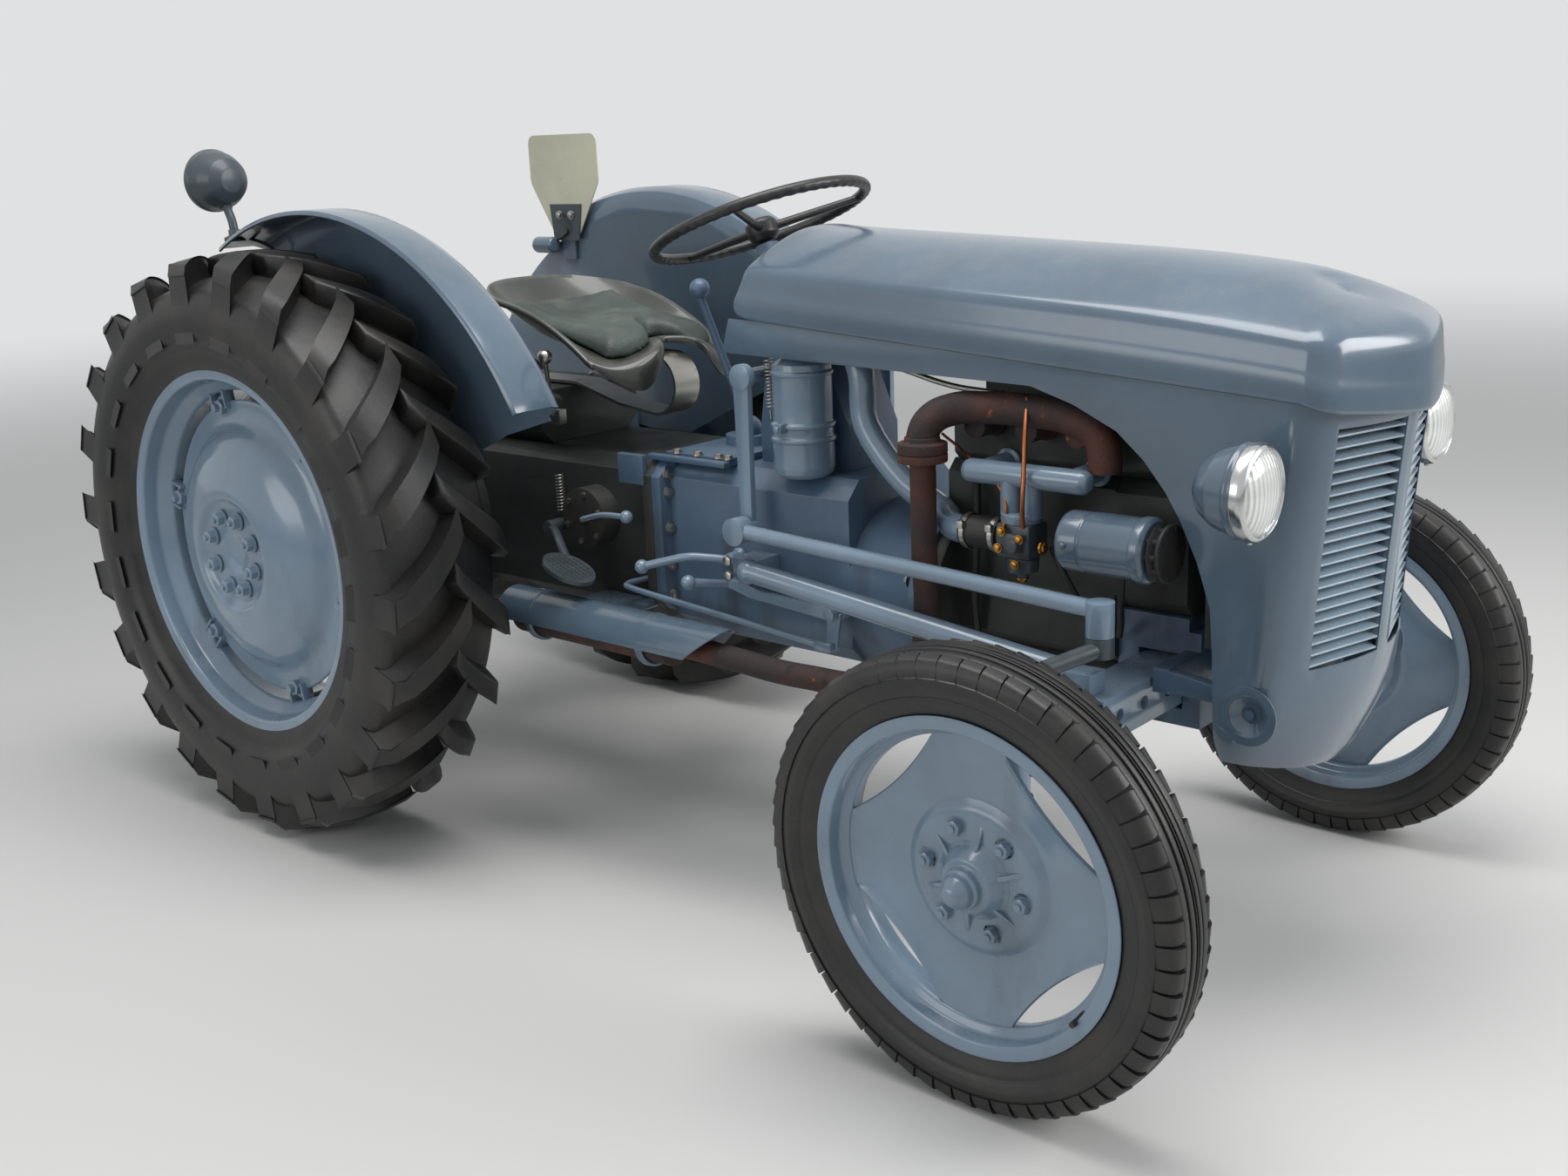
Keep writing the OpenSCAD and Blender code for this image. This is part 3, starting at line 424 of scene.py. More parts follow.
def soften(mesh, width):
    """Joins the flat triangles of a CAD mesh and eases its sharp edges."""
    bmesh.ops.dissolve_limit(mesh, angle_limit=radians(0.6), verts=mesh.verts, edges=mesh.edges)
    ease_edges(mesh, sharp_edges(mesh, 34), width)


def dress(node, edge=0.0015, material=None):
    """The CAD node itself, softened and finished."""
    mesh = node_mesh(node)
    soften(mesh, edge)
    return finish_piece(node + "_dressed", mesh, body_of[node], slot_of[node], [node], material)


print("nodes to dress:", len(slot_of))

# %% [markdown]
# ## Wheels and where they turn
# Each wheel turns on a joint of the frame, so its centre and its axle are read from there. A
# wheel is modelled round its own Y axis, with the outer side towards +Y, and is then moved to its
# joint. On the right-hand side that move mirrors it, and a mirror turns a mesh inside out, which
# is why the normals are worked out again when the piece is finished.

# %% Wheel places and turned shapes
both_sides = (("right", -1), ("left", 1))
joints = {joint["name"]: joint for joint in frame["joints"]}


def hub_matrix(joint_name, side):
    """From a wheel's own axes to its place: +Y points out of the tractor on side 1 or -1."""
    joint = joints[joint_name]
    outward = Vector(joint["axis"]) * side
    forward = Vector((1, 0, 0))
    up = forward.cross(outward) * side
    rows = Matrix((forward, outward, up)).transposed().to_4x4()
    return Matrix.Translation(Vector(joint["pos_m"])) @ rows


def rounded(outline, radius, steps=3, closed=True):
    """An outline of (radius, along) points with its corners turned into short curves."""
    points, count = [], len(outline)
    for i, corner in enumerate(outline):
        corner = Vector(corner)
        if not closed and i in (0, count - 1):
            points.append(corner)
            continue
        before = Vector(outline[i - 1]) - corner
        after = Vector(outline[(i + 1) % count]) - corner
        start = corner + before.normalized() * min(radius, before.length * 0.45)
        end = corner + after.normalized() * min(radius, after.length * 0.45)
        for k in range(steps + 1):
            t = k / steps
            points.append(start * (1 - t) ** 2 + corner * 2 * t * (1 - t) + end * t * t)
    return points


def turned(outline, steps, closed=True):
    """An outline of (radius, along) points spun round Y."""
    mesh = bmesh.new()
    corners = [mesh.verts.new((radius, along, 0)) for radius, along in outline]
    following = corners[1:] + corners[:1] if closed else corners[1:]
    edges = [mesh.edges.new(pair) for pair in zip(corners, following)]
    bmesh.ops.spin(mesh, geom=corners + edges, cent=(0, 0, 0), axis=(0, 1, 0), dvec=(0, 0, 0),
                   angle=tau, steps=steps, use_merge=True)
    bmesh.ops.remove_doubles(mesh, verts=mesh.verts, dist=1e-6)
    return mesh


def ring_of(mesh, geometry, count):
    """Copies of some geometry, evenly round the axle."""
    bmesh.ops.spin(mesh, geom=geometry, cent=(0, 0, 0), axis=(0, 1, 0), dvec=(0, 0, 0),
                   angle=tau * (count - 1) / count, steps=count - 1, use_duplicate=True)


def join(mesh, other):
    """Adds one bmesh to another and frees the second."""
    data = bpy.data.meshes.new("join")
    other.to_mesh(data)
    other.free()
    mesh.from_mesh(data)
    bpy.data.meshes.remove(data)


def geometry_of(mesh):
    """All corners, edges and faces of a mesh, as one list."""
    return mesh.verts[:] + mesh.edges[:] + mesh.faces[:]


def add_round(mesh, part, count, degrees):
    """Copies a part round the axle, turns the ring by some degrees and joins it to a mesh."""
    ring_of(part, geometry_of(part), count)
    turn = Matrix.Rotation(radians(degrees), 3, "Y")
    bmesh.ops.rotate(part, cent=(0, 0, 0), matrix=turn, verts=part.verts)
    join(mesh, part)


def only_corners(geometry):
    return [part for part in geometry if isinstance(part, bmesh.types.BMVert)]


def add_box(mesh, low, high):
    """A cube stretched between two corners, in metres; its eight corners are given back."""
    low, high = Vector(low), Vector(high)
    stretch = Matrix.Translation((low + high) / 2) @ Matrix.Diagonal((*(high - low), 1))
    return bmesh.ops.create_cube(mesh, size=1, matrix=stretch)["verts"]


def thicken(mesh, thickness):
    """Gives an open sheet a wall."""
    bmesh.ops.recalc_face_normals(mesh, faces=mesh.faces)
    bmesh.ops.solidify(mesh, geom=mesh.faces[:], thickness=thickness)


def thicken_below(mesh, thickness):
    """Gives an open sheet a wall on its lower side."""
    bmesh.ops.recalc_face_normals(mesh, faces=mesh.faces)
    if sum(face.normal.z * face.calc_area() for face in mesh.faces) < 0:
        bmesh.ops.reverse_faces(mesh, faces=mesh.faces)
    bmesh.ops.solidify(mesh, geom=mesh.faces[:], thickness=thickness)


def on_wheel(name, mesh, end, side_name, side, slot, stands_for=(), sharp=40):
    """Moves a mesh from a wheel's own axes to its hub, where it turns with the wheel."""
    hub = hub_matrix(end + "_spin_" + side_name, side)
    bmesh.ops.transform(mesh, matrix=hub, verts=mesh.verts)
    body = end + "_wheel_" + side_name
    return finish_piece(name, mesh, body, slot, stands_for, sharp=radians(sharp))


print("turning joints:", [name for name in joints if "spin" in name])

# %% [markdown]
# ## The rear tyres
# A tractor tyre is a smooth casing with long rubber bars that meet in an arrow pattern. The
# casing is a turned outline. One bar is a cube, cut along its length and bent over the casing by
# moving its corners, so that its ends, flanks and top follow the tyre, and its edges are then
# bevelled. The rest are copies round the axle, and the other hand is a mirror half a step on.

# %% Casing and bars
rear_radius, rear_half_width, rim_radius = 0.602, 0.142, 0.378
bar_count = 22
bar_lift = 0.040
crown_gap = 0.006      # the bare casing stays this far below the bars' feet
shoulder_fall = 0.030  # how much lower the casing is at its shoulder


def long_cube(cuts):
    """A cube of 1 m, cut across its length along X."""
    mesh = bmesh.new()
    bmesh.ops.create_cube(mesh, size=1)
    long_edges = [e for e in mesh.edges if abs(e.verts[0].co.x - e.verts[1].co.x) > 0.5]
    bmesh.ops.subdivide_edges(mesh, edges=long_edges, cuts=cuts, use_grid_fill=True)
    return mesh


def casing_radius(across):
    """Radius of the bare casing at a distance from its middle."""
    share = min(1, abs(across) / rear_half_width)
    return rear_radius - bar_lift - crown_gap - shoulder_fall * share ** 2.2


def bar(hand, first_angle):
    """One rubber bar: hand is the side it leans to, and first_angle its place round the tyre."""
    mesh = long_cube(7)
    for corner in mesh.verts:
        along, flank, top = corner.co.x + 0.5, corner.co.y * 2, corner.co.z > 0
        across = -0.012 + 0.152 * along
        sweep = radians(14.6) * along ** 0.80
        half_angle = radians(2.15 + 0.55 * along)
        if top:
            radius = rear_radius - 0.0035 - 0.024 * max(0, (along - 0.30) / 0.70) ** 2.0
        else:
            radius = casing_radius(across) - 0.016 - 0.075 * max(0, along - 0.72) / 0.28
            half_angle *= 1.50
        if along > 0.99:
            across -= 0.006 if top else 0
            radius -= 0.010 if top else 0
        angle = first_angle - sweep + flank * half_angle * 0.98
        corner.co = (radius * cos(angle), hand * across, radius * sin(angle))
    ease_edges(mesh, sharp_edges(mesh, 35), 0.0045)
    return mesh


def rear_tyre(side_name, side):
    half = rear_half_width
    wall = [(rim_radius - 0.016, half - 0.036), (rim_radius + 0.006, half - 0.026),
            (rim_radius + 0.034, half - 0.022), (0.432, half - 0.004), (0.484, half),
            (0.530, half - 0.012), (casing_radius(0.105), 0.105), (casing_radius(0.06), 0.06)]
    outline = [(radius, -along) for radius, along in wall] + [(casing_radius(0), 0)] + wall[::-1]
    mesh = turned(rounded(outline, 0.024, 3), 144)
    phase = radians(-90 + 2.3)
    for hand, start in ((1, phase), (-1, phase + pi / bar_count)):
        bars = bar(hand, start)
        ring_of(bars, geometry_of(bars), bar_count)
        join(mesh, bars)
    return on_wheel("rear_tyre_%s_lugged" % side_name, mesh, "rear", side_name, side,
                    "tyre_rubber", ["rear_tyre_" + side_name])


for side_name, side in both_sides:
    tyre = rear_tyre(side_name, side)
    print(tyre.name, len(tyre.data.polygons), "faces")

# %% [markdown]
# ## The front tyres
# The front tyres only roll and steer, so they have plain ribs round the middle and short bars on
# the shoulders. The ribs are part of the turned outline. A shoulder bar is a bevelled cube bent
# like the rear lugs, sixty to a side.

# %% Ribs and shoulder bars
front_radius, front_half_width, front_rim = 0.348, 0.056, 0.258
shoulder_count = 60


def front_outline():
    half = front_half_width
    side = [(front_rim - 0.016, half - 0.024), (front_rim + 0.006, half - 0.016),
            (front_rim + 0.020, half - 0.010), (front_rim + 0.028, half - 0.009),
            (front_rim + 0.030, half - 0.006), (front_rim + 0.044, half - 0.001),
            (front_radius - 0.032, half - 0.003), (front_radius - 0.014, half - 0.016),
            (front_radius - 0.007, 0.0330)]
    grooves = [(front_radius - 0.002, 0.0300), (front_radius - 0.0016, 0.0175),
               (front_radius - 0.0075, 0.0170), (front_radius - 0.0075, 0.0140),
               (front_radius - 0.0006, 0.0135), (front_radius, 0.0050),
               (front_radius - 0.0070, 0.0045), (front_radius - 0.0070, 0.0015),
               (front_radius, 0.0010)]
    near = side + grooves
    return rounded(near + [(radius, -along) for radius, along in reversed(near)], 0.0022, 2)


def shoulder_bars():
    """All the bars of one shoulder: one is bent over the tyre's corner and copied round."""
    mesh = long_cube(4)
    for corner in mesh.verts:
        along, flank, top = corner.co.x + 0.5, corner.co.y * 2, corner.co.z > 0
        roll = radians(88) * along ** 1.1
        out = 0.0195 if top else 0.008
        radius = front_radius - 0.0215 + out * cos(roll) - 0.026 * max(0, along - 0.55)
        across = 0.0300 + 0.0010 * along + (out + 0.0035) * sin(roll)
        half_angle = pi / shoulder_count * (0.80 + 0.18 * along)
        corner.co = (radius * cos(flank * half_angle), across, radius * sin(flank * half_angle))
    ease_edges(mesh, sharp_edges(mesh, 50), 0.0014, 1)
    ring_of(mesh, geometry_of(mesh), shoulder_count)
    return mesh


def front_tyre(side_name, side):
    mesh = turned(front_outline(), 160)
    for hand in (1, -1):
        bars = shoulder_bars()
        bmesh.ops.scale(bars, vec=(1, hand, 1), verts=bars.verts)
        join(mesh, bars)
    return on_wheel("front_tyre_%s_ribbed" % side_name, mesh, "front", side_name, side,
                    "tyre_rubber", ["front_tyre_" + side_name])


for side_name, side in both_sides:
    tyre = front_tyre(side_name, side)
    print(tyre.name, len(tyre.data.polygons), "faces")

# %% [markdown]
# ## Small parts
# Bolts, clamps, wires and springs are what makes the engine look like an engine. Each kind has one
# maker. A place is written in millimetres as on the CAD drawing, which counts from the rear axle,
# and moved into the frame here.

# %% Makers of bolts, clamps, wires and springs
axle_from_origin = 688.5
forward, backward = (1, 0, 0), (-1, 0, 0)
left, right = (0, 1, 0), (0, -1, 0)
up, down = (0, 0, 1), (0, 0, -1)


def mm(x, y, z):
    """A place in millimetres from the rear axle, as on the CAD drawing, in the frame's metres."""
    return Vector((x - axle_from_origin, y, z)) / 1000


def add_cone(mesh, place, direction, low, high, height, sides):
    """A cone from a place in metres: low and high are its two radii."""
    middle = place + Vector(direction).normalized() * height / 2
    turn = Vector(direction).to_track_quat("Z", "Y").to_matrix().to_4x4()
    bmesh.ops.create_cone(mesh, cap_ends=True, segments=sides, radius1=low, radius2=high,
                          depth=height, matrix=Matrix.Translation(middle) @ turn)


def add_bolt(mesh, place, direction, size=9, washer=True):
    """A hexagon head with a rounded top on a washer; size is the radius over its corners in mm."""
    size = size / 1000
    along = Vector(direction).normalized()
    if washer:
        add_cone(mesh, place - along * 0.001, along, size * 1.38, size * 1.34, 0.003, 20)
        place = place + along * 0.0018
    add_cone(mesh, place, along, size, size, size * 0.62, 6)
    add_cone(mesh, place + along * size * 0.62, along, size, size * 0.72, size * 0.14, 6)


def pipe_mesh(points, radius, sides=4, smooth=True):
    """A round pipe or wire through points."""
    data = bpy.data.curves.new("route", "CURVE")
    data.dimensions, data.bevel_depth, data.bevel_resolution = "3D", radius / 1000, sides
    data.use_fill_caps = True
    spline = data.splines.new("BEZIER" if smooth else "POLY")
    if smooth:
        spline.bezier_points.add(len(points) - 1)
        for knot, point in zip(spline.bezier_points, points):
            knot.co = mm(*point)
            knot.handle_left_type = knot.handle_right_type = "AUTO"
        spline.resolution_u = 8
    else:
        spline.points.add(len(points) - 1)
        for knot, point in zip(spline.points, points):
            knot.co = (*mm(*point), 1)
    route = bpy.data.objects.new("route", data)
    bpy.context.scene.collection.objects.link(route)
    view = bpy.context.evaluated_depsgraph_get()
    made = bpy.data.meshes.new_from_object(route.evaluated_get(view))
    bpy.data.objects.remove(route)
    mesh = bmesh.new()
    mesh.from_mesh(made)
    bpy.data.meshes.remove(made)
    return mesh


def coil_points(start, end, radius, turns, per_turn=12):
    """Points of a coil round the line from start to end."""
    start, end = Vector(start), Vector(end)
    along = end - start
    side = along.orthogonal().normalized()
    other = along.normalized().cross(side)
    points = []
    for k in range(turns * per_turn + 1):
        angle = tau * k / per_turn
        middle = start + along * k / (turns * per_turn)
        points.append(middle + (side * cos(angle) + other * sin(angle)) * radius)
    return points


def stand(mesh, place, direction):
    """Turns a mesh from +Y to a direction and moves it to a place in millimetres."""
    turn = Vector(direction).to_track_quat("Y", "Z").to_matrix().to_4x4()
    bmesh.ops.transform(mesh, matrix=Matrix.Translation(mm(*place)) @ turn, verts=mesh.verts)


def add_band(mesh, centre, direction, radius, width, thick):
    """A clamp's band round a hose: a turned strip with its own thickness."""
    radius, width, thick = radius / 1000, width / 1000, thick / 1000
    ring = turned(rounded([(radius, -width / 2), (radius + thick, -width / 2),
                           (radius + thick, width / 2), (radius, width / 2)], thick * 0.4, 1), 48)
    stand(ring, centre, direction)
    join(mesh, ring)


def turned_at(outline, place, direction, steps=64, ease=2.0):
    """An outline of (radius, along) in millimetres, turned round a direction at a place."""
    points = rounded([(r / 1000, a / 1000) for r, a in outline], ease / 1000, 2, closed=False)
    mesh = turned(points, steps, closed=False)
    stand(mesh, place, direction)
    return mesh


def add_turned(mesh, outline, place, direction, steps=64, ease=2.0):
    join(mesh, turned_at(outline, place, direction, steps, ease))


def add_pipe(mesh, points, radius, sides=4, smooth=True):
    join(mesh, pipe_mesh(points, radius, sides, smooth))


def add_block(mesh, low, high, edge=1.5):
    """A block with eased edges between two corners in millimetres."""
    ease_edges(mesh, edges_at(add_box(mesh, mm(*low), mm(*high))), edge / 1000)


def add_plate(mesh, outline, near_y, far_y, edge):
    """An upright plate from an outline of (x, z), between two places across, in millimetres."""
    corners = [mesh.verts.new(mm(x, near_y, z)) for x, z in outline]
    face = mesh.faces.new(corners)
    drawn = bmesh.ops.extrude_face_region(mesh, geom=[face], use_keep_orig=True)["geom"]
    moved = only_corners(drawn)
    bmesh.ops.translate(mesh, vec=(0, (far_y - near_y) / 1000, 0), verts=moved)
    ease_edges(mesh, edges_at(moved + corners), edge / 1000, 1)


print("makers ready")

# %% [markdown]
# ## The rear wheels
# A stepped rim carries six welded brackets, and a dished disc with a polished dome is bolted to
# them. Eight nuts hold the disc on the hub. The rim and the disc are two turned outlines, their
# corners are eased, and the brackets and nuts are made once and copied round.

# %% Rear rims and discs
def hex_nut(mesh, radius, along, size, height, stud):
    """A nut on its washer, facing outward along +Y, with the stud's end; sizes in metres."""
    turn = Matrix.Rotation(-pi / 2, 4, "X")
    for low, high, from_y, tall, sides in (
            (size * 1.36, size * 1.32, along - 0.001, 0.003, 24),
            (size, size, along + 0.001, height, 6),
            (size, size * 0.8, along + 0.001 + height, size * 0.12, 6),
            (size * 0.55, size * 0.48, along + height, stud, 16)):
        place = Matrix.Translation((radius, from_y + tall / 2, 0)) @ turn
        bmesh.ops.create_cone(mesh, cap_ends=True, segments=sides, radius1=low, radius2=high,
                              depth=tall, matrix=place)


def rim_outline(outer, inner):
    """A rim's outline from its outer and inner skin, each given on the side towards +Y."""
    return (outer + [(radius, -along) for radius, along in reversed(outer)]
            + [(radius, -along) for radius, along in reversed(inner)] + inner)


def rear_wheel(side_name, side):
    rim, half = rim_radius, 0.112
    outer = [(rim, half), (rim, half - 0.005), (rim - 0.018, half - 0.008),
             (rim - 0.022, half - 0.038), (rim - 0.046, 0.056)]
    inner = [(rim - 0.052, 0.052), (rim - 0.028, half - 0.036), (rim - 0.024, half - 0.003)]
    mesh = turned(rounded(rim_outline(outer, inner), 0.006, 3), 160)
    disc = rounded([(0.0, 0.098), (0.026, 0.098), (0.040, 0.104), (0.050, 0.106), (0.100, 0.106),
                    (0.108, 0.110), (0.118, 0.120), (0.132, 0.119), (0.160, 0.112), (0.196, 0.100),
                    (0.232, 0.079), (0.250, 0.058), (0.262, 0.050), (0.290, 0.046), (0.306, 0.045),
                    (0.306, 0.038), (0.262, 0.040), (0.246, 0.046), (0.226, 0.068), (0.178, 0.090),
                    (0.124, 0.104), (0.066, 0.100), (0.066, -0.090), (0.0, -0.090)], 0.010, 4,
                   closed=False)
    join(mesh, turned(disc, 160, closed=False))
    brackets = bmesh.new()
    bracket_end = rim - 0.049
    for low, high in (((0.284, 0.032, -0.027), (bracket_end, 0.038, 0.027)),
                      ((0.290, 0.032, -0.027), (bracket_end, 0.058, -0.021)),
                      ((0.290, 0.032, 0.021), (bracket_end, 0.058, 0.027))):
        add_box(brackets, low, high)
    ease_edges(brackets, brackets.edges[:], 0.0016)
    hex_nut(brackets, 0.297, 0.046, 0.017, 0.013, 0.012)
    add_round(mesh, brackets, 6, 15)
    nuts = bmesh.new()
    hex_nut(nuts, 0.076, 0.110, 0.0135, 0.014, 0.008)
    add_round(mesh, nuts, 8, 22)
    return on_wheel("rear_wheel_%s_pressed" % side_name, mesh, "rear", side_name, side,
                    "pale_paint", ["rear_wheel_" + side_name], sharp=36)


for side_name, side in both_sides:
    wheel = rear_wheel(side_name, side)
    print(wheel.name, len(wheel.data.polygons), "faces")

# %% [markdown]
# ## The front wheels
# The front disc is bolted round a raised ring and has four wide lobes, so long lens-shaped gaps
# are left between it and the rim. The disc is turned as a full ring, and then its corners
# outside each lobe's edge are pulled in to that edge. A pointed cap covers the bearing.

# %% Front rims, discs and caps
lobe_start = 0.13                     # the disc is round up to this radius
gap_distance, gap_arc = 0.600, 0.419  # each gap's edge is an arc round a point this far out


def front_disc(rim):
    """The pressed disc with its four lobes."""
    disc = turned([(0.040, -0.003), (0.096, -0.003), (0.102, -0.0035), (0.108, -0.006),
                   (0.116, -0.013), (0.122, -0.0150), (0.140, -0.0120), (0.162, -0.0085),
                   (0.185, -0.0045), (0.205, -0.001), (rim - 0.037, 0.002)], 200, closed=False)
    for corner in disc.verts:
        radius = hypot(corner.co.x, corner.co.z)
        if radius > lobe_start:
            angle = atan2(corner.co.z, corner.co.x)
            off = angle % (pi / 2) - pi / 4
            inside = max(0, gap_arc ** 2 - (gap_distance * sin(off)) ** 2)
            gap = gap_distance * cos(off) - sqrt(inside)
            edge = min(rim - 0.036, gap) if abs(off) < radians(33) else rim - 0.036
            share = (radius - lobe_start) / (rim - 0.037 - lobe_start)
            placed = lobe_start + (edge - lobe_start) * share
            corner.co.x, corner.co.z = placed * cos(angle), placed * sin(angle)
            if edge < rim - 0.040 and share > 0.9:
                corner.co.y += 0.003
    thicken(disc, 0.005)
    return disc


def front_wheel(side_name, side):
    rim, half = front_rim, 0.042
    outer = [(rim, half), (rim, half - 0.004), (rim - 0.017, half - 0.006), (rim - 0.018, 0.020),
             (rim - 0.032, 0.012)]
    inner = [(rim - 0.037, 0.009), (rim - 0.023, 0.017), (rim - 0.022, half - 0.002)]
    mesh = turned(rounded(rim_outline(outer, inner), 0.004, 3), 160)
    join(mesh, front_disc(rim))
    join(mesh, turned(rounded([(0.0, -0.050), (0.046, -0.050), (0.046, -0.020), (0.062, -0.018),
                               (0.062, 0.001), (0.055, 0.006), (0.041, 0.026), (0.031, 0.028),
                               (0.031, 0.040), (0.0265, 0.042), (0.025, 0.052), (0.013, 0.066),
                               (0.006, 0.069), (0.0, 0.069)], 0.003, 3, closed=False), 96,
                      closed=False))
    nuts = bmesh.new()
    hex_nut(nuts, 0.082, 0.000, 0.012, 0.012, 0.006)
    add_round(mesh, nuts, 6, 10)
    ribs = bmesh.new()
    rib_middle = 0.066
    for corner in add_box(ribs, (0.038, -0.003, -0.0035), (0.094, 0.007, 0.0035)):
        if corner.co.y > 0:
            corner.co.y = 0.016 if corner.co.x < rib_middle else 0.000
    ease_edges(ribs, ribs.edges[:], 0.002)
    add_round(mesh, ribs, 6, 40)
    return on_wheel("front_wheel_%s_pressed" % side_name, mesh, "front", side_name, side,
                    "pale_paint", ["front_wheel_" + side_name], sharp=36)


for side_name, side in both_sides:
    wheel = front_wheel(side_name, side)
    print(wheel.name, len(wheel.data.polygons), "faces")

# %% [markdown]
# ## The seat
# The seat is a deep pan pressed from one sheet: a high curled back, sides that roll out, two
# lobes that curl down in front of the thighs and a notch between them. Its height at each point
# is one formula of how far forward and how far sideways the point lies. A grid is laid over
# these two shares, its corners are moved to the formula's places, and the sheet is then given
# its thickness.

# %% Seat pan from a grid
seat_back, seat_front, seat_half = 150, 625, 186
pan_bottom, pan_top = 955, 1108
reach_side, reach_front, reach_back = 1.12, 1.06, 0.05  # the grid goes past the rim, to roll it
rim_turn = pi * 0.62


def bell(offset, width):
    """1 in the middle, falling off to both sides over about this width."""
    return 2.718 ** -((offset / width) ** 2)


def seat_place(share, side):
    """Point of the pan: share from 0 at the back to 1 in front, side from -1 to 1."""
    notch, corner_round = 62 * bell(side, 0.20), 72 * side ** 4
    x_back = seat_back + 120 * abs(side) ** 3
    x_front = seat_front - notch - corner_round
    x = x_back + (x_front - x_back) * share
    arch = 1 / (1 + (side / 0.4) ** 4)
    floor_z = pan_bottom + share * share * (25 * arch + 12)
    wall = 1 - (1 - abs(side) ** 3.2) * (1 - (1 - share) ** 3)
    rim_z = pan_top - 0.2 * (x - 130) - 0.0012 * max(0, x - 330) ** 2
    return Vector((x, seat_half * side, floor_z + (rim_z - floor_z) * wall))


def grid_over(across, along, place):
    """A grid whose corners go where place(u, v) says, with u and v from 0 to 1."""
    mesh = bmesh.new()
    bmesh.ops.create_grid(mesh, x_segments=across, y_segments=along, size=0.5)
    for corner in mesh.verts:
        corner.co = place(corner.co.x + 0.5, corner.co.y + 0.5)
    return mesh


def pan_point(u, v):
    """A point of the pan or of its rolled rim."""
    side, share = (u * 2 - 1) * reach_side, v * (reach_front + reach_back) - reach_back
    held_side, held_share = max(-1, min(1, side)), max(0, min(1, share))
    point = seat_place(held_share, held_side)
    over_side = rim_turn * max(0, abs(side) - 1) / (reach_side - 1)
    over_front = rim_turn * max(0, share - 1) / (reach_front - 1)
    over_back = rim_turn * max(0, -share) / reach_back
    lobe = bell(abs(held_side) - 0.6, 0.27)
    point.x += (12 + 8 * lobe) * sin(over_front) - 8 * sin(over_back)
    point.y += 8 * sin(over_side) * (1 if side > 0 else -1)
    point.z -= 9 * (1 - cos(over_side)) + 9 * (1 - cos(over_back))
    point.z -= (9 + 34 * lobe) * (1 - cos(over_front))
    return mm(*point)


pan_sheet = grid_over(72, 64, pan_point)
thicken_below(pan_sheet, 0.004)
pan = finish_piece("seat_pan_pressed", pan_sheet, body_of["seat_pan"], "black_paint",
                   ["seat_pan"], sharp=radians(60))
print(pan.name, [round(v, 3) for v in pan.dimensions])

# %% [markdown]
# ## The seat cushion
# A saddle-shaped cushion of dark olive leather lies in the pan, thickest under the thighs and
# with a low ridge down its middle. A voxel remesh gives its rough form an even skin, and a cloth
# simulation blows it up a little, with a limit on how far a point may move.

# %% Seat cushion
cushion_half, cushion_start, cushion_length = 0.84, 0.14, 0.80  # shares of the pan


def under_cushion(u, v):
    """The pan's surface below a point of the cushion, in millimetres."""
    return seat_place(cushion_start + cushion_length * v, (u * 2 - 1) * cushion_half)


def cushion_bottom(u, v):
    return mm(*(under_cushion(u, v) + Vector((0, 0, 1.5))))


def cushion_top(u, v):
    point = under_cushion(u, v)
    edge = max(abs(u * 2 - 1), abs(v * 2 - 1))
    full = 1 - edge ** 5
    ridge = 7 * bell((u * 2 - 1) * cushion_half, 0.16) * v
    point.z += 4 + (34 + 14 * v) * full ** 0.6 + ridge * full
    return mm(*point)


def blown_up(name, mesh, voxel, pressure, farthest):
    """A mesh with an even skin, swollen by cloth with air inside."""
    data = bpy.data.meshes.new(name)
    mesh.to_mesh(data)
    mesh.free()
    pad = bpy.data.objects.new(name, data)
    bpy.context.scene.collection.objects.link(pad)
    even = pad.modifiers.new("even", "REMESH")
    even.mode, even.voxel_size = "VOXEL", voxel
    view = bpy.context.evaluated_depsgraph_get()
    pad.data = bpy.data.meshes.new_from_object(pad.evaluated_get(view))
    pad.modifiers.clear()
    start = [corner.co.copy() for corner in pad.data.vertices]
    cloth = pad.modifiers.new("cloth", "CLOTH").settings
    cloth.use_pressure, cloth.uniform_pressure_force = True, pressure
    cloth.effector_weights.gravity = 0
    for moment in range(1, 21):
        bpy.context.scene.frame_set(moment)
    view = bpy.context.evaluated_depsgraph_get()
    swollen = bpy.data.meshes.new_from_object(pad.evaluated_get(view))
    pad.modifiers.clear()
    bpy.context.scene.frame_set(1)
    for corner, before, after in zip(pad.data.vertices, start, swollen.vertices):
        move = after.co - before
        corner.co = before + move.normalized() * min(move.length, farthest)
    skin = bmesh.new()
    skin.from_mesh(pad.data)
    bpy.data.objects.remove(pad)
    for _ in range(3):
        bmesh.ops.smooth_vert(skin, verts=skin.verts, factor=0.5, use_axis_x=True, use_axis_y=True,
                              use_axis_z=True)
    return skin


def leather(name):
    finish = Finish(name)
    worn = finish.grain(6, detail=5).step(0.42, 0.66)
    pores = finish.cells(420)
    creases = finish.cells(70, "DISTANCE_TO_EDGE").step(0.0, 0.05)
    base = finish.blend(tone(42, 50, 47), tone(72, 84, 78), worn * 0.6 + finish.grain(60) * 0.3)
    dust_patches = finish.grain(17, detail=6).step(0.45, 0.75)
    dusty = (finish.facing_up().step(0.7, 1.0) * dust_patches * 0.3).clip()
    base = finish.blend(base, tone(124, 126, 114), dusty)
    finish.set(base_color=base, roughness=(worn * -0.10 + dusty * 0.3 + 0.48).clip())
    finish.bump(creases * 0.5 + pores * 0.5 + finish.grain(9, detail=3) * 2, 0.35, 0.0012)
    return finish.material


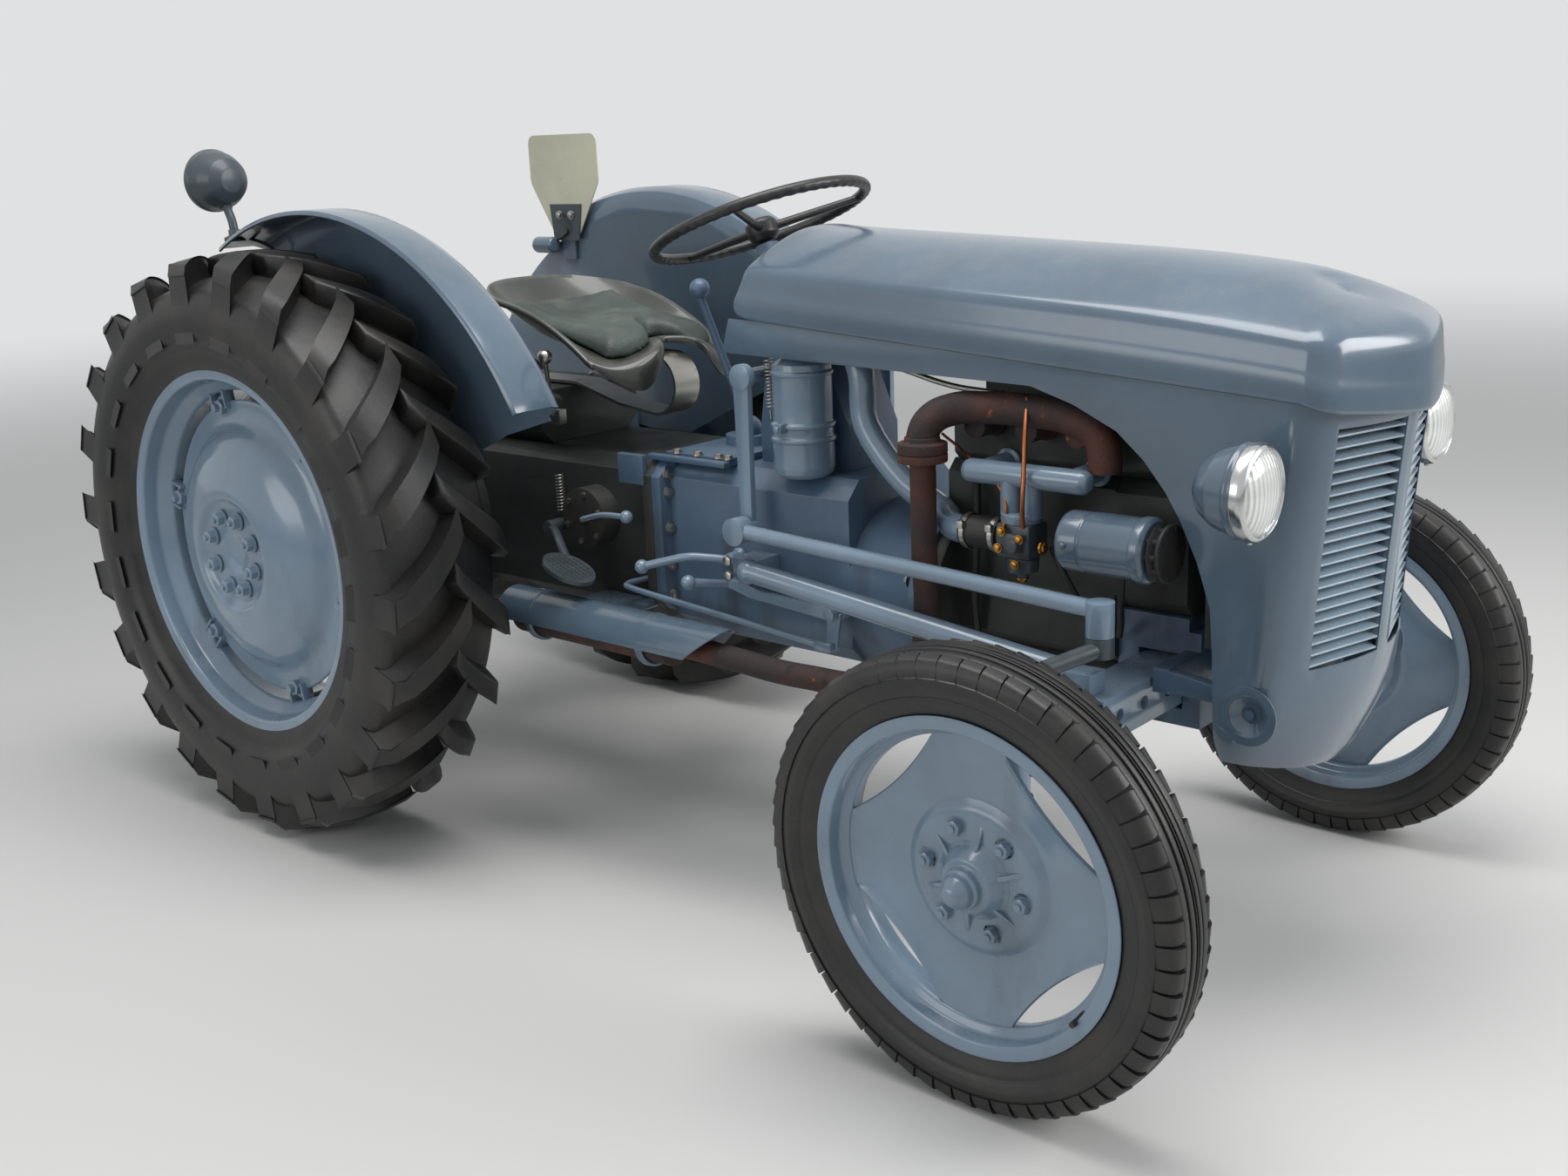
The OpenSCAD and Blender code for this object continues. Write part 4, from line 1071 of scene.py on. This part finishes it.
olive_leather = leather("olive_leather")
cushion_mesh = grid_over(60, 60, cushion_top)
join(cushion_mesh, grid_over(60, 60, cushion_bottom))
rims = [edge for edge in cushion_mesh.edges if edge.is_boundary]
bmesh.ops.bridge_loops(cushion_mesh, edges=rims)
bmesh.ops.recalc_face_normals(cushion_mesh, faces=cushion_mesh.faces)
cushion_skin = blown_up("seat_cushion_skin", cushion_mesh, 0.005, 4, 0.005)
cushion = finish_piece("seat_cushion", cushion_skin, body_of["seat_pan"], "black_paint",
                       material=olive_leather, sharp=radians(80))
print(cushion.name, len(cushion.data.polygons), "faces", [round(v, 3) for v in cushion.dimensions])

# %% [markdown]
# ## The seat spring
# One strap of polished steel lies bolted along the lift cover, bends up and round like a C and
# ends under the pan, so the seat gives when the tractor bounces. The strap's side view is walked
# as a row of points and then drawn out sideways by extruding.

# %% Seat spring strap
def strap(route, half_width, thick):
    """A flat strap along a route of (x, z), all in millimetres."""
    mesh = bmesh.new()
    row = [mesh.verts.new(mm(x, -half_width, z)) for x, z in route]
    edges = [mesh.edges.new(pair) for pair in zip(row, row[1:])]
    drawn = bmesh.ops.extrude_edge_only(mesh, edges=edges)
    bmesh.ops.translate(mesh, vec=(0, half_width * 2 / 1000, 0),
                        verts=only_corners(drawn["geom"]))
    thicken(mesh, thick / 1000)
    return mesh


bend_x, bend_z, bend_radius = 575, 896, 58
bend = [(bend_x + bend_radius * cos(radians(a)), bend_z + bend_radius * sin(radians(a)))
        for a in range(-105, 91, 12)]
route = [(180, 889), (300, 889), (340, 888), (470, 852)] + bend + [(500, 954), (430, 953)]
spring = bolt_on("seat_spring_strap", strap(route, 35, 6), "bright_steel", ["seat_spring"],
                 sharp=30)
print(spring.name, [round(v, 3) for v in spring.dimensions])

# %% [markdown]
# ## Exhaust, silencer and guard
# The manifold sweeps over the intake in one arch and drops into the down pipe, which runs back
# under the footboard to a silencer. A half-round guard of painted sheet keeps boots off it.

# %% Exhaust line
riser_x, riser_y = 1402, -232          # where the manifold meets the down pipe
silencer_y, silencer_z = -330, 470
block_side = -118.5                    # the engine block's right side

manifold = pipe_mesh([(riser_x, riser_y, 866), (riser_x, riser_y, 888), (1412, -222, 916),
                      (1440, -200, 933), (1500, -184, 938), (1590, -178, 937), (1656, -176, 930),
                      (1700, -174, 908), (1712, -173, 872), (1712, -173, 850)], 27, 8)
add_turned(manifold, [(0, 863), (42, 863), (42, 880), (30, 882), (30, 890), (0, 890)],
           (riser_x, riser_y, 0), up)
for along in (1470, 1570, 1664):
    add_turned(manifold, [(0, 0), (26, 0), (24, 6), (21, 10), (21, 60), (0, 60)],
               (along, -120, 905), right, 40)
bolt_on("exhaust_manifold_arch", manifold, "rusty_iron", ["exhaust_manifold"])
down_pipe = pipe_mesh([(riser_x, riser_y, 862), (riser_x, riser_y, 700), (riser_x, riser_y, 560),
                       (1390, -240, 492), (1330, -264, 456), (1190, -312, 456),
                       (1010, silencer_y, 468), (880, silencer_y, silencer_z)], 22, 8)
add_turned(down_pipe, [(0, 848), (42, 848), (42, 862.5), (0, 862.5)], (riser_x, riser_y, 0), up)
add_turned(down_pipe, [(0, 380), (20, 380), (20, 466), (42, 474), (42, 896), (23, 904), (0, 904)],
           (0, silencer_y, silencer_z), forward)
bolt_on("exhaust_pipe_burnt", down_pipe, "rusty_iron", ["exhaust_pipe"])

def guard_point(u, v):
    """Half a tube over the silencer; its front end is cut back towards its lower edges."""
    cut = 70 * max(0, u - 0.88) / 0.12 * (1 - sin(pi * v))
    return mm(440 + 590 * u - cut, silencer_y - 53 * cos(pi * v), 464 + 55 * sin(pi * v))


guard = grid_over(80, 24, guard_point)
thicken(guard, 0.003)
for along in (530, 840):
    add_band(guard, (along, silencer_y, silencer_z), forward, 42, 18, 9)
for low_y, high_y in ((-284, -150), (150, 284)):
    add_block(guard, (520, low_y, 470), (680, high_y, 480), 2)
bolt_on("foot_rests_and_guard", guard, "blue_grey_paint", ["foot_rests"])
print("exhaust line done")

# %% [markdown]
# ## Air cleaner, hose, carburettor and dynamo
# These hang on the right side of the engine, where the camera looks straight at them. Most of
# them are turned shapes: a can with pressed beads, a banded rubber hose with worm clamps, the
# carburettor under its two risers, and the dynamo with end plates, a seam and its pulley.

# %% Engine fittings
hose_line = (0, -205, 735)
dynamo_line = (0, -230, 750)
brass = steel("brass_fittings", (176, 132, 70), rough=0.36, stain=0.3)

cleaner = turned_at([(0, 775), (44, 775), (54, 783), (57, 795), (57, 841), (60, 843), (60, 849),
                     (56, 851), (56, 867), (60, 869), (60, 875), (55, 878), (55, 961), (58, 963),
                     (58, 969), (55, 971), (55, 983), (33, 995), (33, 1050), (0, 1050)],
                    (1066, -140, 0), up, 72, 1.5)
add_block(cleaner, (1058, -212, 862), (1074, -190, 880))
add_bolt(cleaner, mm(1066, -212, 871), right, 7)
bolt_on("air_cleaner_can", cleaner, "pale_paint", ["air_cleaner"])

hose = turned_at([(21, 1470), (29, 1470), (29, 1479), (27, 1481), (27, 1528), (29, 1530),
                  (29, 1542), (21, 1542)], hose_line, forward, 56, 1.0)
bolt_on("air_hose_rubber", hose, "belt_rubber")
clamps = bmesh.new()
for along in (1478, 1534):
    add_band(clamps, (along, *hose_line[1:]), forward, 28.6, 9, 1.4)
    add_block(clamps, (along - 6, -238, 744), (along + 6, -228, 756), 1)
    add_bolt(clamps, mm(along, -233, 756), up, 4, False)
add_band(clamps, (1066, -140, 872), up, 57, 8, 1.6)
add_band(clamps, (1066, -140, 1012), up, 32.6, 12, 1.6)
bolt_on("hose_clamps", clamps, "bright_steel")

intake = turned_at([(0, 1470), (14, 1472), (20, 1482), (20, 1698), (14, 1708), (0, 1710)],
                   (0, -210, 838), forward, 48, 4)
for along in (1500, 1670):
    add_turned(intake, [(0, 0), (24, 0), (24, 8), (17, 10), (17, 92), (0, 92)],
               (along, block_side, 838), right, 40)
for along in (1562, 1600):
    add_turned(intake, [(0, 770), (18, 770), (18, 838), (0, 838)], (along, -210, 0), up, 32)
add_turned(intake, [(0, 762), (33, 762), (34, 778), (0, 778)], (1580, -208, 0), up, 40)
add_turned(intake, [(0, 1499), (21, 1499), (21, 1548), (0, 1548)], hose_line, forward, 40)
bolt_on("intake_pipes", intake, "pale_paint", ["intake"])
carburettor = bmesh.new()
add_block(carburettor, (1548, -236, 706), (1612, -178, 762), 5)
add_block(carburettor, (1556, -246, 718), (1600, -234, 748), 3)
add_turned(carburettor, [(0, 668), (10, 668), (12, 676), (27, 680), (28, 702), (24, 708), (0, 708)],
           (1580, -206, 0), up, 40)
add_turned(carburettor, [(0, 0), (15, 0), (15, 12), (11, 16), (11, 76), (0, 76)], (1590, -180, 730),
           right, 32)
bolt_on("carburettor", carburettor, "dark_paint")
brass_parts = bmesh.new()
for x, z in ((1560, 724), (1600, 742), (1592, 700), (1566, 752)):
    add_bolt(brass_parts, mm(x, -246, z), right, 6)
add_bolt(brass_parts, mm(1580, -206, 668), down, 8)
add_bolt(brass_parts, mm(1620, -210, 724), forward, 8)
bolt_on("brass_fittings_set", brass_parts, "bright_steel", material=brass, sharp=30)

dynamo = turned_at([(0, 1676), (34, 1676), (46, 1684), (48, 1690), (48, 1720), (46.5, 1722),
                    (46.5, 1725), (49, 1727), (49, 1812), (52, 1814), (52, 1828), (46, 1834),
                    (0, 1834)], dynamo_line, forward, 72, 1.2)
add_block(dynamo, (1700, -200, 735), (1810, block_side, 765), 3)
add_bolt(dynamo, mm(1700, -278, 752), right, 6, False)
bolt_on("dynamo_case", dynamo, "blue_grey_paint", ["dynamo"])
pulley = turned_at([(0, 1834), (12, 1834), (12, 1838), (44, 1840), (46, 1843), (36, 1849),
                    (46, 1857), (44, 1861), (0, 1863)], dynamo_line, forward, 64, 0.8)
for turn in range(10):
    blade_y = dynamo_line[1] + 38 * cos(tau * turn / 10)
    blade_z = dynamo_line[2] + 38 * sin(tau * turn / 10)
    add_block(pulley, (1836, blade_y - 4, blade_z - 4), (1862, blade_y + 4, blade_z + 4), 1)
bolt_on("dynamo_pulley", pulley, "belt_rubber")
print("engine fittings done")

# %% [markdown]
# ## The bonnet top
# The bonnet is one long pressing: a low crown, a soft crease on each side, a short upright edge
# that laps over the nose, and a front that folds round the corners and meets in the middle. Its
# plan is a row of stations along the side and round the nose. At each station the same cross
# section is scaled between the seam and the crown, and a grid is moved to these places.

# %% Bonnet from a grid
nose_front_x, bonnet_lap, corner_size = 2149, 3.6, 36
nose_x, nose_half = 2021, 224         # the widest place
side_taper = 21 / 1080                # each side draws in by this much per millimetre backwards
seam_back_x, seam_back_z, seam_slope = 977, 1062, 0.0695
crown_back_x, crown_back_z, crown_slope = 1000, 1218, 0.0485
cross_section = [
    (1, 0, 1, 0), (0.995, 0.27, 0.995, 0.23), (0.975, 0.3, 0.985, 0.26), (0.955, 0.5, 0.98, 0.5),
    (0.925, 0.575, 0.965, 0.62), (0.88, 0.625, 0.92, 0.7), (0.8, 0.69, 0.83, 0.775),
    (0.68, 0.785, 0.7, 0.825), (0.52, 0.885, 0.55, 0.865), (0.35, 0.955, 0.36, 0.92),
    (0.18, 0.99, 0.18, 0.965), (0, 1, 0, 1)]


def bonnet_half(x):
    return nose_half - (nose_x - x) * side_taper + bonnet_lap


def seam_height(x):
    """The lower edge falls towards the nose, and faster at its end."""
    return seam_back_z - (x - seam_back_x) * seam_slope - 0.27 * max(0, x - 2050)


def crown_height(x):
    """The middle line falls slowly and bends down over the nose."""
    return (crown_back_z - (x - crown_back_x) * crown_slope
            - 20 * max(0, (x - 1700) / 332) ** 2)


def fall_back(y):
    """How far the rounded front stands back at a distance from the middle."""
    return 50 * (abs(y) / 190) ** 1.4


def nose_plan(half, front, corner, steps=8):
    """Plan of the front from the side, round the corner, to the middle line."""
    y_corner = half - corner
    x_front = front - fall_back(y_corner)
    x_side = x_front - 1.3 * corner
    bend = []
    for k in range(steps, 0, -1):
        u = k / steps
        near, between, far = (1 - u) ** 2, 2 * u * (1 - u), u * u
        bend.append((near * x_front + between * (x_front - 0.5 * corner) + far * x_side,
                     near * y_corner + (between + far) * half))
    across = [y_corner * k / steps for k in range(steps, -1, -1)]
    return bend + [(front - fall_back(y), y) for y in across]


stations = [(x, bonnet_half(x)) for x in range(960, 1961, 100)]
side_stations = len(stations) - 1
stations += nose_plan(nose_half + bonnet_lap, nose_front_x, corner_size)
rows, columns = len(stations) - 1, 2 * (len(cross_section) - 1)


def bonnet_point(u, v):
    i, j = round(v * rows), round(u * columns)
    x, y = stations[i]
    turn = max(0, (i - side_stations) / (rows - side_stations))
    ends = cross_section[min(j, columns - j)]
    share = ends[0] + (ends[2] - ends[0]) * turn
    lift = ends[1] + (ends[3] - ends[1]) * turn
    low = seam_height(x)
    z = low + lift * (crown_height(x) - low)
    middle = 1972 + 38 * turn if i > side_stations else x
    along = 925 + (z - 1000) * 0.4 if i == 0 else middle + (x - middle) * share
    return mm(along, y * share * (-1 if j < columns / 2 else 1), z)


bonnet = grid_over(columns, rows, bonnet_point)
bmesh.ops.remove_doubles(bonnet, verts=bonnet.verts, dist=1e-4)
thicken_below(bonnet, 0.003)
bonnet_piece = finish_piece("bonnet_top_pressed", bonnet, "bonnet", "blue_grey_paint",
                            ["bonnet_top"], sharp=radians(50))
smooth = bonnet_piece.modifiers.new("smooth", "SUBSURF")
smooth.levels = smooth.render_levels = 2
print(bonnet_piece.name, [round(v, 3) for v in bonnet_piece.dimensions])

# %% [markdown]
# ## Lamps
# Each headlamp is a deep bowl with a seam, a plated bezel and a bulging lens. The lens has fine
# upright fluting in its bump and a glossy coat, and its colour is painted pale with whiter bands
# along the fluting: a painted reflection of the sky and painted highlights on the ribs. The round
# work lamp behind the driver is the same idea on a smaller scale, and it looks backwards.

# %% Headlamps and the work lamp
def lens_glass(name, colour):
    finish = Finish(name)
    fluting_and_painted_glints = finish.wire.node("TexWave", {"bands_direction": "Y", "wave_profile": "SIN"},
                              {"Vector": finish.place, "Scale": 34.0, "Distortion": 0.0}, 1)
    # Whiter bands along the fluting on a pale base: painted highlights and painted reflection.
    base = finish.blend(tone(*colour), tone(250, 250, 246), fluting_and_painted_glints.step(0.2, 0.9) * 0.45)
    finish.set(base_color=base, roughness=0.10, coat_weight=1.0, coat_roughness=0.04)
    finish.bump(fluting_and_painted_glints, 0.5, 0.003)
    return finish.material


# The pale base colour is a painted reflection of the sky in the lamp glass.
lamp_glass_painted_shine = lens_glass("lamp_glass_painted_shine", (206, 208, 204))
bezel_plating = steel("plated_bezel", (196, 198, 198), rough=0.20, stain=0.10)
lamp_x, lamp_y, lamp_z = 2020, 325, 880
for side_name, side in both_sides:
    place = (lamp_x, side * lamp_y, lamp_z)
    bowl = turned_at([(0, -74), (22, -69), (42, -55), (56, -34), (64, -10), (66, -3), (68.5, -2),
                      (68.5, 2), (67, 5), (67, 20), (60, 22)], place, forward, 96, 3)
    stand_in = ["headlamps"] if side < 0 else []
    arm = [(1990, side * 232, lamp_z), (1990, side * 262, lamp_z), (1996, side * 290, lamp_z)]
    add_pipe(bowl, arm, 14, 6, smooth=False)
    add_plate(bowl, [(1948, 914), (1976, 880), (1994, 872), (1994, 908)],
              side * 228, side * 264, 3)
    finish_piece("headlamp_bowl_" + side_name, bowl, "bonnet", "blue_grey_paint", stand_in,
                 sharp=radians(40))
    bezel = turned_at([(58, 24), (62, 31), (68, 27), (69.5, 20), (69.5, 10), (67.5, 8)], place,
                      forward, 96, 1.5)
    add_bolt(bezel, mm(lamp_x + 14, side * lamp_y - 10, lamp_z - 69), down, 4, False)
    finish_piece("headlamp_bezel_" + side_name, bezel, "bonnet", "bright_steel",
                 material=bezel_plating, sharp=radians(50))
    glass = turned_at([(0, 43), (20, 42), (40, 37.5), (54, 31), (60, 25)], place, forward, 96, 4)
    finish_piece("headlamp_lens_" + side_name, glass, "bonnet", "bright_steel", material=lamp_glass_painted_shine,
                 sharp=radians(60))

work_x, work_y, work_z = -199, -500, 1335
work = turned_at([(0, -51), (25, -48), (45, -34), (57, -8), (62, 16), (64, 18), (64, 30), (60, 33)],
                 (work_x, work_y, work_z), backward, 72, 2)
add_pipe(work, [(-165, work_y, 1216), (-168, work_y, 1250), (-180, work_y, 1276),
                (-186, work_y, 1292)], 9, 6)
add_turned(work, [(0, 1212), (22, 1212), (22, 1220), (12, 1224), (12, 1236), (0, 1236)],
           (-165, -500, 0), up, 32)
add_block(work, (-200, -510, 1276), (-176, -490, 1300), 2)
add_bolt(work, mm(-188, -510, 1290), right, 7)
bolt_on("work_lamp_shell", work, "dark_paint", ["work_lamp"])
work_glass = turned_at([(0, 40), (30, 38), (52, 34), (60, 31)], (work_x, work_y, work_z), backward,
                       72, 3)
bolt_on("work_lamp_lens", work_glass, "bright_steel", material=lamp_glass_painted_shine, sharp=60)
print("lamps done")

# %% [markdown]
# ## Number board
# A cream board with rounded corners narrows to a foot, where a dark bent plate holds it with two
# bolts on a blue post, and a small round lamp sits behind it. The board is left bare.

# %% Board, plate and post
board = bmesh.new()
outline = rounded([(-252, 1404), (-264, 1392), (-264, 1290), (-182, 1158), (-100, 1158),
                   (-18, 1290), (-18, 1392), (-30, 1404)], 14, 4)
add_plate(board, outline, 400, 403.5, 1.2)
bolt_on("number_board_bare", board, "cream_paint", ["number_board"], sharp=30)
post = bmesh.new()
add_block(post, (-164, 404, 1104), (-120, 411.5, 1215), 1.5)
add_turned(post, [(0, -34), (17, -34), (20, -28), (20, 28), (17, 34), (0, 34)], (-206, 385, 1140),
           forward, 40)
add_turned(post, [(0, 0), (9, 0), (9, 28), (0, 28)], (-190, 386, 1140), left, 24)
bolt_on("number_board_post", post, "blue_grey_paint")
plate = bmesh.new()
add_plate(plate, [(-196, 1238), (-186, 1150), (-96, 1150), (-82, 1238)], 396, 400, 1)
bolt_on("number_board_plate", plate, "dark_paint", sharp=30)
board_bolts = bmesh.new()
for along in (-160, -118):
    add_bolt(board_bolts, mm(along, 396, 1212), right, 8)
bolt_on("number_board_bolts", board_bolts, "bright_steel", sharp=30)
loop = pipe_mesh([(-150, 392, 1216), (-138, 388, 1192), (-128, 390, 1176), (-142, 392, 1164),
                  (-176, 392, 1150)], 2.6, 3)
bolt_on("number_board_lead", loop, "belt_rubber", sharp=32)
print("board done")

# %% [markdown]
# ## Levers, pegs and rods on the right side
# The driver's small controls all end in a ball. They are bent bars, so each is a pipe through a
# few points with a turned ball on its end. The brake pedal is an oval pad with a raised pattern.

# %% Levers and rods
def ball(mesh, place, radius):
    bmesh.ops.create_uvsphere(mesh, u_segments=32, v_segments=20, radius=radius / 1000,
                              matrix=Matrix.Translation(mm(*place)))


levers = bmesh.new()
long_lever = [(912, -158, 606), (912, -190, 606), (886, -214, 610), (850, -236, 612),
              (806, -256, 602), (760, -276, 589)]
short_lever = [(912, -158, 558), (912, -190, 558), (904, -214, 562), (898, -240, 568),
               (885, -278, 576)]
for bends in (long_lever, short_lever):
    add_pipe(levers, bends, 8, 6)
    ball(levers, bends[-1], 14)
    add_turned(levers, [(0, 0), (17, 0), (17, 8), (12, 12), (12, 34), (0, 34)],
               (912, -158, bends[0][2]), right, 32)
add_pipe(levers, [(520, -196, 640), (524, -210, 641), (560, -218, 652), (600, -224, 662),
                  (674, -230, 668)], 6, 5)
ball(levers, (676, -230, 668), 13)
add_pipe(levers, [(640, -150, 520), (640, -208, 520), (652, -214, 519), (900, -214, 500),
                  (1150, -214, 481)], 6, 5)
add_block(levers, (1140, -222, 472), (1180, -206, 490), 2)
add_turned(levers, [(0, 0), (17, 0), (17, 26), (12, 30), (12, 54), (0, 54)], (1180, -171, 545),
           right, 32)
add_plate(levers, [(1160, 474), (1184, 474), (1196, 545), (1164, 545)], -210, -201, 1.5)
add_plate(levers, [(925, 573), (925, 556), (975, 544), (1130, 533), (1180, 528), (1192, 545),
                   (1180, 562), (1130, 556), (1012, 560), (985, 566), (970, 573)], -212, -201, 1.5)
bolt_on("levers_and_rods", levers, "pale_paint")

pedal = bmesh.new()
bmesh.ops.create_circle(pedal, cap_ends=True, segments=64, radius=0.044)
drawn = bmesh.ops.extrude_face_region(pedal, geom=pedal.faces[:], use_keep_orig=True)["geom"]
bmesh.ops.translate(pedal, vec=(0, 0, 0.008), verts=only_corners(drawn))
for row in range(-3, 4):
    for column in range(-5, 6):
        spot = Vector((column * 0.0076, row * 0.0104))
        if (spot.x / 0.040) ** 2 + (spot.y / 0.040) ** 2 < 0.86:
            bmesh.ops.create_cone(pedal, cap_ends=True, segments=4, radius1=0.0042,
                                  radius2=0.0022, depth=0.004,
                                  matrix=Matrix.Translation((spot.x, spot.y, 0.009)))
bmesh.ops.scale(pedal, vec=(1.4, 1, 1), verts=pedal.verts)
pedal_place = Matrix.Translation(mm(608, -330, 571)) @ Matrix.Rotation(radians(20), 4, "Y")
bmesh.ops.transform(pedal, matrix=pedal_place, verts=pedal.verts)
add_pipe(pedal, [(606, -314, 566), (575, -300, 578), (520, -270, 604), (470, -236, 612),
                 (425, -206, 612)], 9, 6)
add_turned(pedal, [(0, 0), (16, 0), (16, 60), (0, 60)], (425, -158, 612), right, 32)
bolt_on("brake_pedal_oval", pedal, "dark_paint", ["brake_pedals"], sharp=30)
print("levers done")

# %% [markdown]
# ## Bolts on the castings
# The heads stand in rows along every flange: round the bell housing, down the joint of the
# gearbox, over the gearbox lid, along the cylinder head and round the hubs of the axle. They are
# all one piece, because a hundred separate objects would only slow the file down.

# %% Bolt rows
bolts = bmesh.new()
for angle in range(-60, 241, 20):
    turn = radians(angle)
    add_bolt(bolts, mm(1341, 207 * cos(turn), 555 + 207 * sin(turn)), backward, 8.5)
for hand in (-1, 1):
    for height in (505, 566, 640, 712, 748):
        add_bolt(bolts, mm(733, hand * 167, height), forward, 9.5)
        add_bolt(bolts, mm(685, hand * 163, height), backward, 9.5)
    for along in (745, 800, 855, 880):
        add_bolt(bolts, mm(along, hand * 146, 789.3), up, 8.5)
    for along in range(1400, 1820, 58):
        add_bolt(bolts, mm(along, hand * 98, 915), up, 9)
    for along in (1430, 1520, 1610, 1680):
        add_bolt(bolts, mm(along, hand * 110, 420), (0, hand, 0), 8)
    for turn in (radians(a) for a in range(0, 360, 45)):
        add_bolt(bolts, mm(137 * cos(turn), hand * 188, 602 + 137 * sin(turn)), (0, hand, 0), 8.5)
for turn in (radians(a) for a in range(20, 380, 60)):
    add_bolt(bolts, mm(511 + 50 * cos(turn), -196, 640 + 50 * sin(turn)), right, 6, False)
for height in (589, 618):
    add_bolt(bolts, mm(952, -236, height), right, 10, False)
bolt_on("casting_bolts", bolts, "bright_steel", sharp=30)
print("bolt rows done")

# %% [markdown]
# ## Pipes, springs, valves and the lid's edge
# A few thin things finish the engine side: the copper fuel pipe, the conduits beside the block,
# the work lamp's lead, the throttle rod, two coil springs, and the box and strip on the gearbox
# lid. Valve stems stick out of the wheels. A spring is a pipe through the points of a coil.

# %% Small fittings
copper = steel("copper_pipe", (168, 104, 70), rough=0.34, stain=0.35)
fuel_line = pipe_mesh([(1600, -236, 760), (1606, -246, 800), (1604, -238, 850), (1598, -226, 900),
                       (1580, -190, 960)], 4, 4)
add_pipe(fuel_line, [(1384, -150, 880), (1470, -196, 856), (1560, -226, 800), (1566, -240, 752)],
         2.6, 3)
bolt_on("copper_fuel_pipe", fuel_line, "bright_steel", material=copper, sharp=32)
conduits = bmesh.new()
for radius, sides, *points in (
        (7, 4, (1440, -130, 800), (1452, -150, 700), (1446, -150, 600), (1440, -130, 520)),
        (6, 4, (1620, -180, 720), (1650, -176, 660), (1672, -150, 610), (1690, -128, 590)),
        (6, 4, (1760, -200, 700), (1750, -186, 640), (1730, -150, 600), (1712, -122, 570)),
        (3.5, 3, (-165, -500, 1222), (-150, -470, 1214), (-120, -440, 1190), (-116, -418, 1150))):
    add_pipe(conduits, points, radius, sides)
bolt_on("wiring_conduits", conduits, "belt_rubber", sharp=32)
rods = pipe_mesh([(1120, -90, 985), (1250, -120, 985), (1390, -130, 960), (1500, -140, 955)], 5, 4)
add_pipe(rods, coil_points((1018, -176, 900), (1018, -176, 990), 7, 14), 1.6, 2, smooth=False)
add_pipe(rods, coil_points((425, -176, 640), (425, -176, 720), 8, 12), 1.8, 2, smooth=False)
add_pipe(rods, [(1018, -176, 898), (1018, -172, 880), (1018, -150, 872)], 2.2, 3)
bolt_on("throttle_rod_and_springs", rods, "bright_steel", sharp=50)
lid = bmesh.new()
add_block(lid, (620, -192, 725), (690, -176.5, 785), 2.5)
add_block(lid, (690, -176, 776), (895, -158.5, 787), 2)
bolt_on("gearbox_lid_strip", lid, "grey_casting")

for side_name, side in both_sides:
    for end, radius, along, lean in (("front", 0.236, 0.024, radians(-38)),
                                     ("rear", 0.338, 0.074, radians(-52))):
        stem = bmesh.new()
        centre = Vector((radius * cos(lean), along, radius * sin(lean)))
        for low, high, from_centre, length in ((0.0062, 0.0042, 0, 0.030),
                                               (0.0048, 0.0044, 0.019, 0.012)):
            place = (Matrix.Translation(centre + Vector((0, from_centre, 0)))
                     @ Matrix.Rotation(-pi / 2, 4, "X"))
            bmesh.ops.create_cone(stem, cap_ends=True, segments=20, radius1=low, radius2=high,
                                  depth=length, matrix=place)
        on_wheel(end + "_wheel_valve_" + side_name, stem, end, side_name, side, "belt_rubber")
print("small fittings done")

# %% [markdown]
# ## Steering wheel rim
# The rim is hard black rubber with shallow finger grips all round its lower side. It is a turned
# ring whose lower corners are moved in and out by a short wave as they go round.

# %% Steering wheel
wheel_radius, rim_thickness, grip_count = 0.211, 0.0108, 54
steering = turned([(wheel_radius + rim_thickness * cos(tau * k / 16),
                    rim_thickness * sin(tau * k / 16)) for k in range(16)], 324)
for corner in steering.verts:
    angle = atan2(corner.co.z, corner.co.x)
    ring_point = Vector((cos(angle), 0, sin(angle))) * wheel_radius
    out = corner.co - ring_point
    if out.y < -0.002:
        corner.co = ring_point + out * (1 - 0.11 * (0.5 + 0.5 * cos(angle * grip_count)))
for spoke in (60, 180, 300):
    place = (Matrix.Rotation(radians(spoke), 4, "Y") @ Matrix.Translation((0.113, -0.008, 0))
             @ Matrix.Rotation(radians(94), 4, "Z") @ Matrix.Rotation(pi / 2, 4, "X"))
    bmesh.ops.create_cone(steering, cap_ends=True, segments=24, radius1=0.0085, radius2=0.0068,
                          depth=wheel_radius - 0.022, matrix=place)
join(steering, turned(rounded([(0, -0.120), (0.011, -0.120), (0.011, -0.040), (0.024, -0.038),
                               (0.031, -0.026), (0.031, -0.004), (0.024, 0.004), (0.010, 0.006),
                               (0, 0.006)], 0.003, 3, closed=False), 64, closed=False))
column_lean = radians(-20.2)
steering_place = (Matrix.Translation(mm(855, 0, 1222)) @ Matrix.Rotation(column_lean, 4, "Y")
                  @ Matrix.Rotation(pi / 2, 4, "X"))
bmesh.ops.transform(steering, matrix=steering_place, verts=steering.verts)
finish_piece("steering_wheel_grips", steering, "steering_wheel", "black_plastic",
             ["steering_wheel"], sharp=radians(40))
print("steering wheel done")

# %% [markdown]
# ## Everything else keeps its CAD shape
# The nodes that have no piece of their own yet are softened and given their slot's finish. After
# that the number of pieces and of their triangles is printed.

# %% Dress the remaining nodes and finish
edge_of = {"rear_housing": 0.004, "gearbox": 0.004, "engine_block": 0.004, "cylinder_head": 0.003,
           "radiator": 0.003, "fuel_tank": 0.003, "lift_cover": 0.005}
stood_for = {node for piece in made_pieces.values() for node in piece.get("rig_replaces", [])}
# The grille takes the paler slat enamel, which is painted light from the front.
dress("grille", 0.0008, material=finishes["slat_paint_painted_light"])
stood_for.add("grille")
for node in sorted(slot_of):
    if node not in stood_for:
        dress(node, edge_of.get(node, 0.0015))
print("pieces:", len(made_pieces), "triangles:", sum(
    len(face.vertices) - 2 for piece in made_pieces.values() for face in piece.data.polygons))
